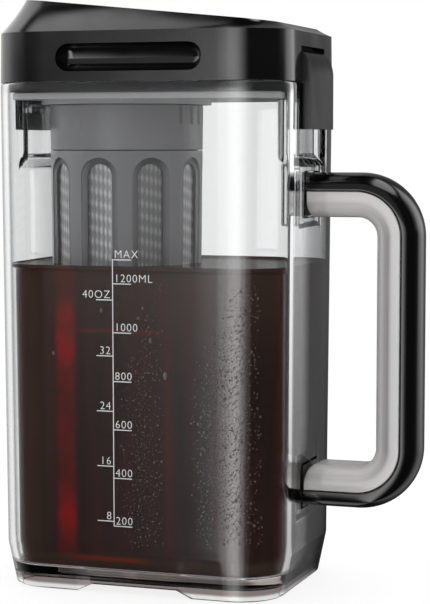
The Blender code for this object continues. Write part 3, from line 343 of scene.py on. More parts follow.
def frostedInlay():
    # Milky translucent ABS, moulded over the grip's inner half: light grey, with painted streaks of light and
    # shade along it in place of what its curved skins refract and mirror. The way out from the grip's inner
    # bend is the distance from a rounded rectangle, so the painted streaks follow the C; the arms are paler.
    material, tree, shader = plastic("frostedAbsMoulded", "#f4f2f2", 0.16, (0.004, 0.00002, 0.04), IOR=1.5,
                                     Transmission_Weight=0.35)
    h = handle
    bend = h["bend"] - h["shell"]
    low, high = h["bottom"] + h["shell"] + bend, h["top"] - h["shell"] - bend
    x, _, z = jugAxes(tree, h["outerX"] - h["shell"] - bend)
    middle = addNode(tree, "Math", (z, (low + high) / 2), operation="SUBTRACT")
    away = addNode(tree, "Math", (middle,), operation="ABSOLUTE")
    beyond = addNode(tree, "Math", (away, (high - low) / 2), operation="SUBTRACT")
    corner = addNode(tree, "CombineXYZ", (x, beyond))
    outside = addNode(tree, "VectorMath", (corner, (0, 0, 0)), operation="MAXIMUM")
    reach = addNode(tree, "VectorMath", (outside,), "Value", operation="LENGTH")
    greater = addNode(tree, "Math", (x, beyond), operation="MAXIMUM")
    inside = addNode(tree, "Math", (greater, 0.0), operation="MINIMUM")
    out = addNode(tree, "Math", (reach, inside), operation="ADD")
    share = addNode(tree, "MapRange", (out, bend - h["inlay"], bend))
    # Painted light and shade: bright and dark streaks across the bar
    tone = addNode(tree, "ValToRGB", (share,), "Color", h["paintedLightStreaks"])
    arm = addNode(tree, "MapRange", (beyond, 0.0, 0.016, 0.0, 0.8))
    paler = addNode(tree, "Mix", {0: arm, 6: tone, 7: "#f8f4f3"}, 2, data_type="RGBA")
    tree.links.new(paler, shader.inputs["Base Color"])
    return material


def smokedFilter():
    # Smoked grey polypropylene: satin, with painted shade where the window frames are sunk into the wall. The
    # depth is how far a point lies inside the cone of the wall's outer face.
    material, tree, shader = plastic("smokedPolypropyleneMoulded", "#a9a8ab", 0.33, sparkGrain, IOR=1.49)
    f = filterSizes
    x, y, z = jugAxes(tree, f["axisX"])
    flat = addNode(tree, "CombineXYZ", (x, y))
    radius = addNode(tree, "VectorMath", (flat,), "Value", operation="LENGTH")
    wall = addNode(tree, "MapRange", (z, f["bottom"], f["top"], f["bottomRadius"], f["topRadius"]))
    depth = addNode(tree, "Math", (wall, radius), operation="SUBTRACT")
    # Painted shade: the sunk frames turn from the light grey to dark grey with their depth
    sunk = addNode(tree, "MapRange", (depth, 0.0004, f["frameDepth"] - 0.0002))
    tone = addNode(tree, "Mix", {0: sunk, 6: "#a9a8ab", 7: "#5c5b5d"}, 2, data_type="RGBA")
    tree.links.new(tone, shader.inputs["Base Color"])
    return material


def drawnSteel():
    # Drawn stainless wire: bright, with fine lines along the pin
    material, tree, shader = plastic("stainlessDrawn", "#b9b9ba", 0.28, Metallic=1.0)
    place = addNode(tree, "TexCoord", out="Object")
    along = addNode(tree, "Mapping", {"Vector": place, "Scale": (9000.0, 120.0, 9000.0)})
    lines = addNode(tree, "TexNoise", {"Vector": along, "Scale": 1.0}, "Fac")
    vary = addNode(tree, "MapRange", (lines, 0.0, 1.0, 0.2, 0.38))
    tree.links.new(vary, shader.inputs["Roughness"])
    return material


def wovenSteel():
    # Fine woven stainless mesh: too fine to see, so its glints are drawn as upright dashes 1.9 mm apart
    # and 5.2 mm long, in rows that climb round the tube
    material, tree, shader = plastic("stainlessWoven", "#a4a3a6", 0.42, Metallic=0.35)
    x, y, z = jugAxes(tree, filterSizes["axisX"])
    angle = addNode(tree, "Math", (y, x), operation="ARCTAN2")
    across = addNode(tree, "Math", (angle, round(math.tau * 0.029 / 0.0019)), operation="MULTIPLY")
    threads = addNode(tree, "Math", (across,), operation="COSINE")
    lean = addNode(tree, "Math", (angle, 9.0), operation="MULTIPLY")
    rise = addNode(tree, "Math", (z, math.tau / 0.0052), operation="MULTIPLY")
    phase = addNode(tree, "Math", (rise, lean), operation="ADD")
    rows = addNode(tree, "Math", (phase,), operation="SINE")
    cells = addNode(tree, "Math", (threads, rows), operation="ADD")
    glint = addNode(tree, "MapRange", (cells, -0.4, 1.6))
    tone = addNode(tree, "Mix", {0: glint, 6: "#b0afb1", 7: "#e8e7e9"}, 2, data_type="RGBA")
    tree.links.new(tone, shader.inputs["Base Color"])
    bump = addNode(tree, "Bump", {"Height": cells, "Strength": 0.3, "Distance": 0.0001})
    tree.links.new(bump, shader.inputs["Normal"])
    return material


# Sizes

jug = {
    "halfWidth": 0.0633, "halfDepth": 0.0475, "height": 0.2083, "corner": 0.022, "draft": 0.0067,
    "wall": 0.0034, "floorTop": 0.0093, "floorUnder": 0.0053, "floorFillet": 0.0014, "underFillet": 0.0010,
    "taperHeight": 0.017, "taperInset": 0.0034, "skirtWall": 0.0030, "skirtRound": 0.0006, "rimRound": 0.0008,
    "footHalf": 0.0185, "footRamp": 0.0066, "footLift": 0.0030,
    "pocketFloor": 0.0583, "pocketHalf": 0.0190, "pocketSlope": 0.2376,
    "ribHalf": 0.0150, "ribReach": 0.0016, "ribBottom": 0.1967, "ribTop": 0.2005,
    "socketDepth": 0.0046, "socketHalf": 0.0113, "sockets": ((0.0336, 0.0523), (0.1536, 0.1723)),
    # Depth and fillet of the edges of sockets, pockets, ribs, and the bulges behind them inside
    "socketEdge": (0.0046, 0.0004), "pocketEdge": (0.0050, 0.0005), "ribEdge": (0.0016, 0.0003),
    "bulgeEdge": (0.0050, 0.0010),
}

filterSizes = {
    "axisX": -0.0184, "bottom": 0.0146, "top": 0.1997, "bottomRadius": 0.0305, "topRadius": 0.0323,
    "collarBottom": 0.1811, "cageTop": 0.1808, "cageBottom": 0.0260, "wall": 0.0020,
    "neckRadius": 0.0301, "neckTop": 0.2056, "neckWall": 0.0018, "steps": 144, "collarSteps": 120,
    "lugs": 3, "lugHalf": math.radians(15), "lugLow": 0.2030, "lugHigh": 0.2050, "lugRadius": 0.0314,
    "lugRamp": 0.004, "spigotLength": 0.0041, "spigotRamp": 0.0016,
    "windows": 9, "windowTop": 0.1754, "windowBottom": 0.0310, "windowWidth": 0.0108,
    "frameMargin": 0.0026, "frameDepth": 0.0015, "meshTop": 0.1767, "meshBottom": 0.0247, "meshWall": 0.0005,
    "flutes": 5, "flutePitch": math.radians(12), "fluteWidth": 0.0028, "fluteDepth": 0.0007,
    "fluteLength": 0.0077, "baseTop": 0.0244, "baseFloor": 0.0170, "baseRim": 0.0040, "baseRound": 0.0015,
    "collarSeal": (0.2059, 0.2086), "baseSeal": (0.0247, 0.0257), "collarSealRadii": (0.0280, 0.0314),
}


def taper(z):
    return jug["taperInset"] * np.clip(1 - z / jug["taperHeight"], 0, None)


def faceX(z):
    return jug["halfWidth"] - jug["draft"] * (jug["height"] - z) - taper(z)


def frontY(z):
    return -(jug["halfDepth"] - jug["draft"] * (jug["height"] - z) - taper(z))


def softMin(a, b, k=0.0005):
    # The lesser of two surfaces with the crease between them rounded over about k
    h = np.clip(0.5 + 0.5 * (b - a) / k, 0, 1)
    return b + (a - b) * h - k * h * (1 - h)


def wallRows(z, inset, footShare, isInner, sockets):
    # The jug's wall as rings of points. Each row is a rounded rectangle drawn in by the draft, the
    # taper and its own inset; on the narrow sides x is then pushed in by the latch pockets and the
    # handle sockets, by a share that falls from 1 to 0 across each moulded edge.
    z, inset, inner = z[:, None], inset[:, None], isInner[:, None] > 0.5
    wall, half, socketHalf = jug["wall"], jug["pocketHalf"], jug["socketHalf"]
    socket, pocket, rib, bulge = (edgeRun(*jug[name]) for name in
                                  ("socketEdge", "pocketEdge", "ribEdge", "bulgeEdge"))
    outerY = [0, 0.004, 0.008, *(socketHalf - socket[0]), *(jug["ribHalf"] - rib[0]), *(half - pocket[0]),
              0.0218, 0.0235]
    innerY = [0, 0.005, 0.010, *(socketHalf + wall - bulge[0]), *np.linspace(0.0165, 0.0205, len(rib[0])),
              *(half + wall - bulge[0]), 0.0237, 0.0240]
    foot = jug["footHalf"] + np.array([-0.0006, 0, 0.0006])
    xs = mirrored([0, 0.006, 0.012, *foot, 0.0217, *(foot + jug["footRamp"]), 0.031, 0.037])
    radius = np.clip(jug["corner"] - taper(z) - inset, 0.002, None)
    x, y = plan((faceX(z) - inset)[:, 0], (-frontY(z) - inset)[:, 0], radius[:, 0], xs,
                np.where(inner, mirrored(innerY), mirrored(outerY)))
    zz, ay, ax = z + 0 * x, np.abs(y), np.abs(x)

    def sunk(value, edge, run):
        # Share of the full depth where value has passed an edge; inside, a wall's thickness earlier
        return np.where(inner, np.interp(value, edge - wall + bulge[0], bulge[1]),
                        np.interp(value, edge + run[0], run[1]))

    floor, slope = jug["pocketFloor"], jug["pocketSlope"] - zz
    innerX = wall - softMin(wall - floor, wall * math.sqrt(2) - slope)
    pocketX = np.where(inner, innerX, -softMin(-floor, -slope)) - inset
    pushed = ax - (ax - softMin(ax, pocketX)) * sunk(-ay, -half, pocket)
    ribRise = jug["ribReach"] * np.clip((jug["ribTop"] - zz) / jug["ribReach"], 0, 1) \
        * np.interp(zz, [jug["ribBottom"] - 0.0002, jug["ribBottom"] + 0.0001], [0, 1])
    pushed = pushed + np.where(inner, 0, ribRise * np.interp(-ay, rib[0] - jug["ribHalf"], rib[1]))
    for low, high in sockets:
        deep = faceX((low + high) / 2) - jug["socketDepth"] - np.where(inner, inset, 0)
        share = np.minimum.reduce([sunk(zz, low, socket), sunk(-zz, -high, socket),
                                   sunk(-ay, -socketHalf, socket)])
        pushed = np.minimum(pushed, ax - np.clip(ax - deep, 0, None) * share)
    lift = np.interp(ax, [jug["footHalf"], jug["footHalf"] + jug["footRamp"]], [jug["footLift"], 0])
    return np.stack([np.sign(x) * pushed, y, zz + lift * footShare[:, None]], -1)


def jugHeights():
    # Heights of the outer and the inner rows: close together wherever the wall turns
    socketWay, bulgeWay = edgeRun(*jug["socketEdge"])[0], edgeRun(*jug["bulgeEdge"])[0]
    outer = [0.0008, 0.003, 0.007, 0.012, 0.0160, 0.0168, 0.0172, 0.018, 0.022, 0.027, 0.0325,
             0.064, 0.08, 0.096, 0.112, 0.128, 0.142, 0.1735, 0.1741, 0.1744, 0.1747, 0.1751, 0.1756, 0.1765,
             0.178, 0.1786, 0.179, 0.1793, 0.1796, 0.180, 0.1806, 0.185, 0.190, 0.1955, 0.1963, 0.19645,
             0.1966, 0.1968, 0.197, 0.1985, 0.1988, 0.1990, 0.1995, 0.2003, 0.2005, 0.2008, 0.204]
    inner = [0.0128, 0.0165, 0.0172, 0.022, 0.027, 0.068, 0.08, 0.096, 0.112, 0.128, 0.142, 0.1724, 0.1733,
             0.174, 0.1765, 0.1772, 0.1776, 0.178, 0.1784, 0.1789, 0.181, 0.188, 0.195, 0.202]
    for low, high in jug["sockets"]:
        outer += [*(low + socketWay), (low + high) / 2, *(high - socketWay)]
        inner += [*(low - jug["wall"] + bulgeWay), (low + high) / 2, *(high + jug["wall"] - bulgeWay)]
    return np.unique(np.round(outer, 6)), np.unique(np.round(inner, 6))


def floorCorner(floor, inset):
    # Heights and insets where the inside turns into its floor, from the wall down
    f = jug["floorFillet"]
    return arc((floor + f, inset + f), f, -quarter, -2 * quarter, 8)


def jugRings(sockets):
    # The wall's rows, from under the floor out round the skirt, up outside, over the rim and down inside
    outer, inner = jugHeights()
    top, wall, skirt = jug["height"], jug["wall"], jug["skirtWall"]
    under, low, rim = jug["underFillet"], jug["skirtRound"], jug["rimRound"]

    def rows(points, foot=0, isInner=0):
        # Heights and insets with the share of the foot's lift, and whether they are inside
        points = np.atleast_2d(points)
        return np.column_stack([points, foot + 0 * points[:, 0], isInner + 0 * points[:, 0]])

    table = np.vstack([
        rows(arc((jug["floorUnder"] - under, skirt + under), under, 0, -quarter, 4)),
        rows((0.0022, skirt), 0.45),
        rows(arc((low, skirt - low), low, quarter, 2 * quarter, 4), 1),
        rows(arc((low, low), low, 2 * quarter, 3 * quarter, 4), 1),
        rows(np.stack([outer, 0 * outer], -1), np.clip(1 - outer / jug["taperHeight"], 0, None)),
        rows(arc((top - rim, rim), rim, -quarter, 0, 4)),
        rows(arc((top - rim, wall - rim), rim, 0, quarter, 4), isInner=1),
        rows(np.stack([inner[::-1], wall + 0 * inner], -1), isInner=1),
        rows(floorCorner(jug["floorTop"], wall), isInner=1),
        rows((jug["floorTop"], wall + jug["floorFillet"] + 0.0006), isInner=1)])
    return wallRows(*table.T, sockets)


def makeJug():
    # The handle's sockets are only in the +x wall
    plain, socketed = jugRings(()), jugRings(jug["sockets"])
    body = solid("jugWall", np.where(plain[..., :1] > 0, socketed, plain))
    dress(body, clearCopolyester(), "jug", "jug_clear_plastic", ["jug_body"], smooth=50)


makeJug()
print("jug blown clear")


# Coffee

brew = {
    "level": 0.1335, "clear": 0.00012, "shy": 0.0016, "meniscus": 0.0009, "meniscusLength": 0.0011,
    "dark": "#3d2e29", "brown": "#522e2a", "red": "#c4231f", "pale": "#665248", "amber": "#a8472a",
    # Soft patches of painted light in red, pale and amber: centre, half-width, strength, and the share of the
    # half that stays flat
    "glow": (-0.0285, 0.0058, 1.0, 0.35), "steady": 0.34,
    "spots": ((0.105, 0.022, 0.75), (0.031, 0.014, 0.75)),
    "sideX": (0.0156, 0.0040, 0.1), "sideZ": (0.052, 0.075, 1.0),
    "lineX": (-0.006, 0.021, 1.0, 0.6), "lineZ": (0.1080, 0.0016, 0.28),
    "paleLeftX": (-0.0450, 0.016, 0.55), "paleTopZ": (0.1335, 0.050, 0.45), "paleFoot": (0.0090, 0.0085, 0.75, 0.6),
    "footX": (-0.0110, 0.022, 1.0, 0.4), "footZ": (0.0142, 0.0019, 1.0),
}


def coldBrew():
    # Cold brew: nearly opaque, brown-black in faint upright bands, with painted light: a red glow where light
    # comes through beside the filter, brightest in two places, paler zones near the surface, along the left
    # and at its foot, and an amber line at its foot
    material, tree, shader = plastic("coldBrewCoffee", "#3a2320", 0.12, IOR=1.34, Specular_IOR_Level=0.12)
    b = brew
    x, _, z = jugAxes(tree)
    place = addNode(tree, "TexCoord", out="Object")
    wobble = addNode(tree, "TexNoise", {"Vector": place, "Scale": 130.0, "Detail": 4.0}, "Fac")
    across = addNode(tree, "Math", (wobble, 0.0012, x), operation="MULTIPLY_ADD")
    long = addNode(tree, "Mapping", {"Vector": place, "Scale": (150.0, 150.0, 7.0)})
    bands = addNode(tree, "TexNoise", {"Vector": long, "Scale": 1.0, "Detail": 2.0}, "Fac")
    tone = addNode(tree, "ValToRGB", (bands,), "Color", ((0.36, b["dark"]), (0.64, b["brown"])))
    # Painted light: the red glow, a soft upright strip beside the filter, steady along it and brighter at two
    # heights
    upper, lower = (patch(tree, z, *spot) for spot in b["spots"])
    spots = addNode(tree, "Math", (upper, lower), operation="MAXIMUM")
    steady = addNode(tree, "Math", (spots, b["steady"]), operation="ADD")
    strip = addNode(tree, "Math", (patch(tree, across, *b["glow"]), steady), operation="MULTIPLY")
    cloud = addNode(tree, "MapRange", (wobble, 0.35, 0.65, 0.6, 1.15))
    red = addNode(tree, "Math", (strip, cloud), operation="MULTIPLY")
    # Painted light: a faint red patch right of the middle, and a thin red glint across the front at the
    # height of the 1000 mark
    for name, value in (("side", across), ("line", x)):
        crossed = (patch(tree, value, *b[f"{name}X"]), patch(tree, z, *b[f"{name}Z"]))
        both = addNode(tree, "Math", crossed, operation="MULTIPLY")
        red = addNode(tree, "Math", (red, both), operation="ADD")
    # Painted light: paler along the filter's left edge, near the surface and at the foot
    paleLeftTop = addNode(tree, "Math", (patch(tree, x, *b["paleLeftX"]), patch(tree, z, *b["paleTopZ"])),
                   operation="MAXIMUM")
    pale = addNode(tree, "Math", (patch(tree, z, *b["paleFoot"]), paleLeftTop), operation="MAXIMUM")
    # Painted light: an amber line of light low along the coffee's foot, strongest near the middle
    amber = addNode(tree, "Math", (patch(tree, z, *b["footZ"]), patch(tree, x, *b["footX"])),
                    operation="MULTIPLY")
    for share, colour in ((red, "red"), (pale, "pale"), (amber, "amber")):
        tone = addNode(tree, "Mix", {0: share, 6: tone, 7: b[colour]}, 2, data_type="RGBA")
    tree.links.new(tone, shader.inputs["Base Color"])
    return material


def makeBrew():
    # The liquid takes the inside of the jug. It meets the wall at its surface, which climbs there by
    # the meniscus, and is drawn in below, so that the clear wall shows at its full thickness.
    level, shy, inside = brew["level"], brew["shy"], jug["wall"] + brew["clear"]
    drawn = jug["wall"] + shy                    # towards the handle only a third of it
    heights = jugHeights()[1]
    heights = heights[(heights > 0.0125) & (heights < level - 0.004)]
    k, d = np.arange(9), np.array((0, 0.0002, 0.0005, 0.0009, 0.0014, 0.002, 0.003, 0.0045))
    z, inset = np.vstack([
        floorCorner(jug["floorTop"] + brew["clear"], drawn)[::-1],
        np.stack([heights, drawn + 0 * heights], -1),
        np.stack([level - 0.0022 + 0.0002 * k, inside + shy * (1 - (k / 8) ** 3)], -1),
        np.stack([level + brew["meniscus"] * np.exp(-d / brew["meniscusLength"]), inside + d], -1)]).T
    points = wallRows(z, inset, 0 * z, 1 + 0 * z, ())
    fuller = np.where(inset > inside + brew["clear"] / 2, inset - shy * 2 / 3, inset)
    socketed = wallRows(z, np.maximum(fuller, inside), 0 * z, 1 + 0 * z, jug["sockets"])
    points[..., 0] = np.where(points[..., 0] > 0, socketed[..., 0], points[..., 0])
    dress(solid("coldBrew", points), coldBrew(), "jug", smooth=60)


makeBrew()
print("coffee filled")


# Handle

handle = {
    "top": 0.1720, "bottom": 0.0339, "outerX": 0.1105, "shell": 0.0076, "inlay": 0.0105, "bend": 0.0260,
    "width": 0.0220, "inlayRound": 0.0048, "edge": 0.0004, "endRoundTop": 0.0028,
    "endRoundBottom": 0.0050, "padInset": 0.0004,
    "sideTurn": (7, 23, 56, 76, 90), "sideRun": (0.0021, 0.0033, 0.0038),   # the shell's side: degrees, way
    # Painted light and shade across the inlay: ramp stops from its inner edge out to the parting line
    "paintedLightStreaks": ((0.0, "#eceaea"), (1.0, "#fafafa"), (0.27, "#f0eeee"), (0.42, "#b8b4b4"), (0.53, "#949292"),
                (0.60, "#cac8c8"), (0.68, "#f4f3f3")),
}


def crownedSide(depth, half):
    # The shell's outer side, from the middle of its back round to its flank: a line whose direction
    # turns slowly, then faster, then slowly again, summed up step by step
    turns = np.radians(handle["sideTurn"])
    way = np.zeros((1, 2))
    for run, start, end in zip((*handle["sideRun"], None), turns[:-1], turns[1:]):
        a = np.linspace(start, end, 13)
        a = (a[1:] + a[:-1]) / 2
        step = np.stack([np.cos(a), np.sin(a)], -1) / len(a)
        run = run or (half - way[-1, 1]) / step[:, 1].sum()
        way = np.vstack([way, way[-1] + np.cumsum(step * run, 0)])
    return np.stack([way[:, 0] + depth - way[-1, 0], half - way[:, 1]], -1)[::-1]


def barSection(near, far, roundFar, edge):
    # A bar's section: from the parting line out to the far side, as (out, across). The far corners
    # are quarter circles of one radius, or crowned when there is none, and the near ones of another.
    half = handle["width"] / 2
    sign, depth, near = math.copysign(1, far), abs(far), abs(near)
    if roundFar:
        farSide = arc((depth - roundFar, half - roundFar), roundFar, 0, quarter, 10)
    else:
        farSide = crownedSide(depth, half)[1:]
    nearSide = arc((near + edge, half - edge), edge, quarter, 2 * quarter, 3)
    between = ((farSide[-1, 0] + near + edge) / 2, half)
    right = np.vstack([[(depth, 0)], farSide, [between], nearSide, [(near, 0)]])
    return np.vstack([right, right[1:-1][::-1] * (1, -1)]) * (sign, 1)


def sweep(name, startX, endX, section, endTop, endBottom):
    # The section carried along the C: points are path + out * normal, with y from the section. Near
    # each end the far side is drawn in along a quarter circle, so the end is round.
    h = handle
    top, bottom = h["top"] - h["shell"], h["bottom"] + h["shell"]
    bend = h["bend"] - h["shell"]
    straight = h["outerX"] - h["shell"] - bend
    ends = np.linspace(quarter, 0, 9 if endTop else 1)
    first = [(startX + endTop * (1 - math.sin(e)), top, quarter, endTop * (1 - math.cos(e))) for e in ends]
    last = [(endX + endBottom * (1 - math.sin(e)), bottom, -quarter, endBottom * (1 - math.cos(e)))
            for e in ends[::-1]]
    early = [(startX + (straight - startX) * t, top, quarter, 0) for t in (0.35, 0.7)]
    late = [(endX + (straight - endX) * t, bottom, -quarter, 0) for t in (0.7, 0.35)]
    middle = [(straight + bend * math.cos(a), z + bend * math.sin(a), a, 0)
              for z, start, end in ((top - bend, quarter, 0), (bottom + bend, 0, -quarter))
              for a in np.linspace(start, end, 29)]
    x, z, a, drawn = np.array(first + early + middle + late + last).T[:, :, None]
    out = section[None, :, 0] * (1 - drawn / np.abs(section[:, 0]).max())
    y = np.broadcast_to(section[:, 1], out.shape)
    return solid(name, np.stack([x + out * np.cos(a), y, z + out * np.sin(a)], -1))


def makeHandle():
    h = handle
    faceTop, faceBottom = faceX(h["top"] - h["shell"]), faceX(h["bottom"] + h["shell"])
    root = 2 * gap - jug["socketDepth"]
    shell = sweep("gripShell", faceTop + root, faceBottom + root,
                  barSection(gap / 2, h["shell"], 0, h["edge"]), 0, 0)
    arm, inset = h["shell"] + h["inlay"], h["padInset"]
    half = h["width"] / 2 - inset
    pads = []
    for index, (low, high) in enumerate(((h["top"] - arm, h["top"]), (h["bottom"], h["bottom"] + arm))):
        face = faceX((low + high) / 2)
        pads.append(block(f"rootPad{index}", (face - jug["socketDepth"] + gap, -half, low + inset),
                          (face + gap, half, high - inset)))
    carve(shell, *pads, operation="UNION")
    dress(shell, plainFinish("blackAbsPolished"), "jug", "handle_black_plastic", ["handle_shell"],
          edge=0.0003, segments=2)
    inlay = sweep("gripInlay", faceTop + gap * 3, faceBottom + gap * 3,
                  barSection(-gap / 2, -h["inlay"], h["inlayRound"], h["edge"]),
                  h["endRoundTop"], h["endRoundBottom"])
    dress(inlay, frostedInlay(), "jug", "handle_clear_inlay", ["handle_inlay"], smooth=50)


makeHandle()
print("handle swept")


# Lid

lid = {
    "bottom": 0.2086, "height": 0.0202, "draft": 0.0003, "wall": 0.0025, "topWall": 0.0028,
    "peak": 0.0140, "low": 0.0031, "spoutInset": 0.0110, "handleInset": 0.0062, "sideInset": 0.0072,
    "crownCorner": 0.0140, "hollow": 0.28, "shoulderSteps": 12, "edge": 0.0005,
    "gripHalf": 0.0312, "gripRadius": 0.0056, "gripWall": 0.0020, "gripHeight": 0.0096,
    "recessX": 0.0558, "recessHalf": 0.0169, "recessTop": 0.2230, "cheek": 0.0046,
}
lid["bandTop"] = lid["bottom"] + lid["height"]
lid["x0"] = lid["spoutInset"] - (jug["halfWidth"] - lid["draft"])
lid["x1"] = jug["halfWidth"] - lid["draft"] - lid["handleInset"]
lid["slope"] = (lid["peak"] - lid["low"]) / (lid["x1"] - lid["x0"])

cap = {
    "offset": 0.0080, "length": 0.0259, "width": 0.0280, "thickness": 0.0024, "front": 0.0053,
    "corner": 0.0040, "barrel": 0.0020, "swing": 0.0007, "barrelClear": 0.0004, "pin": 0.0009,
    "pinBite": 0.0026, "pourLength": 0.0120, "pourWidth": 0.0190, "pourFront": 0.0025,
    "pourCorner": 0.0040, "sealClear": 0.0006, "sealDepth": 0.0023, "blockDepth": 0.0070,
    "blockMargin": 0.0047, "lipWidth": 0.0120, "lipDepth": 0.0012, "lap": 0.0004,
}
cap["pivot"] = cap["length"] - cap["front"] - cap["barrel"]

latch = {
    "pivotX": 0.0608, "pivotZ": 0.2170, "width": 0.0332, "outerX": 0.0672, "thickness": 0.0052,
    "bottom": 0.1895, "barrel": 0.0046, "bulgeDrop": 0.0060, "edge": 0.0006, "pin": 0.0012,
    "pinBite": 0.0031, "nibX": 0.0602, "nibTop": 0.1964, "nibHeight": 0.0036, "nibRamp": 0.0020,
    "coreMiddle": 0.0075, "coreHalf": 0.00625, "coreBottom": 0.2009, "coreTop": 0.2124, "coreDepth": 0.0030,
}


def topHeight(x):
    return lid["bandTop"] + lid["peak"] - lid["slope"] * (x - lid["x0"])


def lidRings(wall, topWall, bottom, steps):
    # The lid's skin as rings: the upright band, then the hollow shoulder, whose way inwards runs
    # ahead of its way up by hollow * t * (1 - t), and the outline of the sloping top
    xs, ys = mirrored([0, 0.013, 0.026, 0.037]), mirrored([0, 0.011, 0.022])
    base, band = (plan(jug["halfWidth"] - d, jug["halfDepth"] - d, jug["corner"] - d, xs, ys)[:, 0]
                  for d in (wall, wall + lid["draft"]))
    halfY = jug["halfDepth"] - lid["draft"] - lid["sideInset"]
    crown = plan((lid["x1"] - lid["x0"]) / 2 - wall, halfY - wall, lid["crownCorner"] - wall, xs, ys)[:, 0]
    crown[0] += (lid["x0"] + lid["x1"]) / 2
    heights = bottom, lid["bandTop"] - topWall / 2, topHeight(crown[0]) - topWall
    foot, low, high = (np.vstack([ring, height + 0 * ring[0]]).T
                       for ring, height in zip((base, band, crown), heights))
    t = np.linspace(0, 1, steps + 1)[:, None, None]
    ahead = lid["hollow"] * t * (1 - t) * (1, 1, 0)
    return np.concatenate([foot[None], low + (high - low) * (t + ahead)])


def capsule(name, radius, side):
    # A round-ended bar along x on the band's broad face: circles whose radius falls to nothing at
    # both ends along a quarter circle
    a = np.linspace(quarter - 0.02, 0, 9)
    straight = lid["gripHalf"] - lid["gripRadius"]
    x = np.concatenate([-straight - radius * np.sin(a), straight + radius * np.sin(a[::-1])])[:, None]
    r = np.concatenate([radius * np.cos(a), radius * np.cos(a[::-1])])[:, None]
    turn = np.linspace(0, math.tau, 48, endpoint=False)
    y = side * (jug["halfDepth"] - lid["draft"]) + r * np.cos(turn)
    z = lid["bottom"] + lid["gripHeight"] + r * np.sin(turn)
    return solid(name, np.stack([x + 0 * turn, y, z], -1))


def spoutFrame():
    # Origin on the sloping top, u down the slope, v along y, w square to the top
    x = lid["x0"] + cap["offset"]
    return Matrix.Translation((x, 0, topHeight(x))) @ Matrix.Rotation(math.atan(lid["slope"]), 4, "Y")


def roundedFlap(front, back, half, corner):
    # A flap's outline: round corners at its free end, square ones at the hinge
    left = arc((front + corner, half - corner), corner, quarter, 2 * quarter, 10)
    right = arc((front + corner, corner - half), corner, 2 * quarter, 3 * quarter, 10)
    return np.vstack([[(back, -half), (back, half)], left, right])


def pourOutline(clear):
    length, centre = cap["pourLength"], cap["pourLength"] / 2 - cap["pourFront"]
    outline = plan(length / 2 - clear, cap["pourWidth"] / 2 - clear, cap["pourCorner"] - clear,
                   np.zeros(1), np.zeros(1), steps=8)
    return outline[:, 0].T + (centre, 0)


def endBlock(name, side, inner, half, top, under):
    # A box at one narrow end of the lid, from an inner distance out past the band
    xs = sorted([side * inner, side * (jug["halfWidth"] + overrun)])
    return block(name, (xs[0], -half, lid["bottom"] - under), (xs[1], half, top))


def makeLid():
    place = spoutFrame()
    hollow = solid("lidHollow", lidRings(lid["wall"], lid["topWall"], lid["bottom"] - overrun, 5))
    keep = [capsule(f"gripBulge{side}", lid["gripRadius"] + lid["gripWall"], side) for side in (-1, 1)]
    keep += [endBlock(f"latchBlock{side}", side, lid["recessX"] - lid["wall"],
                      lid["recessHalf"] + lid["cheek"], lid["recessTop"] + lid["wall"], 2 * overrun)
             for side in (1, -1)]
    m = cap["blockMargin"]
    keep.append(block("spoutBlock", (-cap["front"] - m, -cap["width"] / 2 - m, -cap["blockDepth"]),
                      (cap["length"] - cap["front"] + m, cap["width"] / 2 + m, overrun), place))
    carve(hollow, *keep)
    cover = solid("lidCover", lidRings(0, 0, lid["bottom"], lid["shoulderSteps"]))
    tools = [hollow] + [capsule(f"grip{side}", lid["gripRadius"], side) for side in (-1, 1)]
    for side in (1, -1):
        tools.append(endBlock(f"recess{side}", side, lid["recessX"], lid["recessHalf"], lid["recessTop"],
                              overrun))
        tools.append(crossBar(f"bore{side}", latch["pin"] + gap, lid["recessHalf"] + latch["pinBite"],
                              (side * latch["pivotX"], latch["pivotZ"])))
    front, back = -cap["front"] - gap, cap["pivot"] + cap["barrel"] + cap["swing"]
    seatHalf, seatDepth = cap["width"] / 2 + gap, cap["thickness"] + gap
    tools.append(prism("capSeat", roundedFlap(front, back, seatHalf, cap["corner"] + gap), -seatDepth,
                       overrun, place))
    trough, half = cap["barrel"] + cap["barrelClear"], (cap["width"] + gap) / 2
    tools.append(block("hingeTrough", (cap["pivot"] - trough, -half, -cap["barrel"] - trough),
                       (cap["pivot"] + trough, half, -seatDepth / 2), place))
    tools.append(prism("pourHole", pourOutline(0), -cap["blockDepth"] - overrun, 0, place))
    tools.append(block("pourLip", (front - cap["offset"], -cap["lipWidth"] / 2, -cap["lipDepth"]),
                       (front + cap["corner"] / 2, cap["lipWidth"] / 2, overrun), place))
    tools.append(crossBar("capBore", cap["pin"] + gap, seatHalf + cap["pinBite"],
                          (cap["pivot"], -cap["barrel"]), place))
    for tool in tools:
        carve(cover, tool)
    dress(cover, plainFinish("blackPolypropyleneTextured"), "lid", "lid_black_plastic", ["lid_cover"],
          edge=lid["edge"])


def makeCap():
    place = spoutFrame()
    half, pivot = cap["width"] / 2, (cap["pivot"], -cap["barrel"])
    flap = prism("pourCap", roundedFlap(-cap["front"], cap["pivot"] + cap["lap"], half, cap["corner"]),
                 -cap["thickness"], 0, place)
    carve(flap, crossBar("capBarrel", cap["barrel"], half, pivot, place), operation="UNION")
    carve(flap, crossBar("capEye", cap["pin"] + gap, half + overrun, pivot, place))
    dress(flap, plainFinish("blackPolypropyleneCap"), "pour_cap", "cap_black_plastic", ["spout_cap"],
          edge=0.0004)
    top = -cap["thickness"] - gap
    seal = prism("pourCapSeal", pourOutline(cap["sealClear"]), top - cap["sealDepth"], top, place)
    dress(seal, plainFinish("darkSiliconeMoulded"), "pour_cap", "seal_silicone", ["spout_cap_seal"],
          edge=0.0003)
    pin = crossBar("capPin", cap["pin"], half + cap["pinBite"], pivot, place)
    dress(pin, drawnSteel(), "lid", "pin_steel", ["spout_cap_pin"], edge=0.0002)


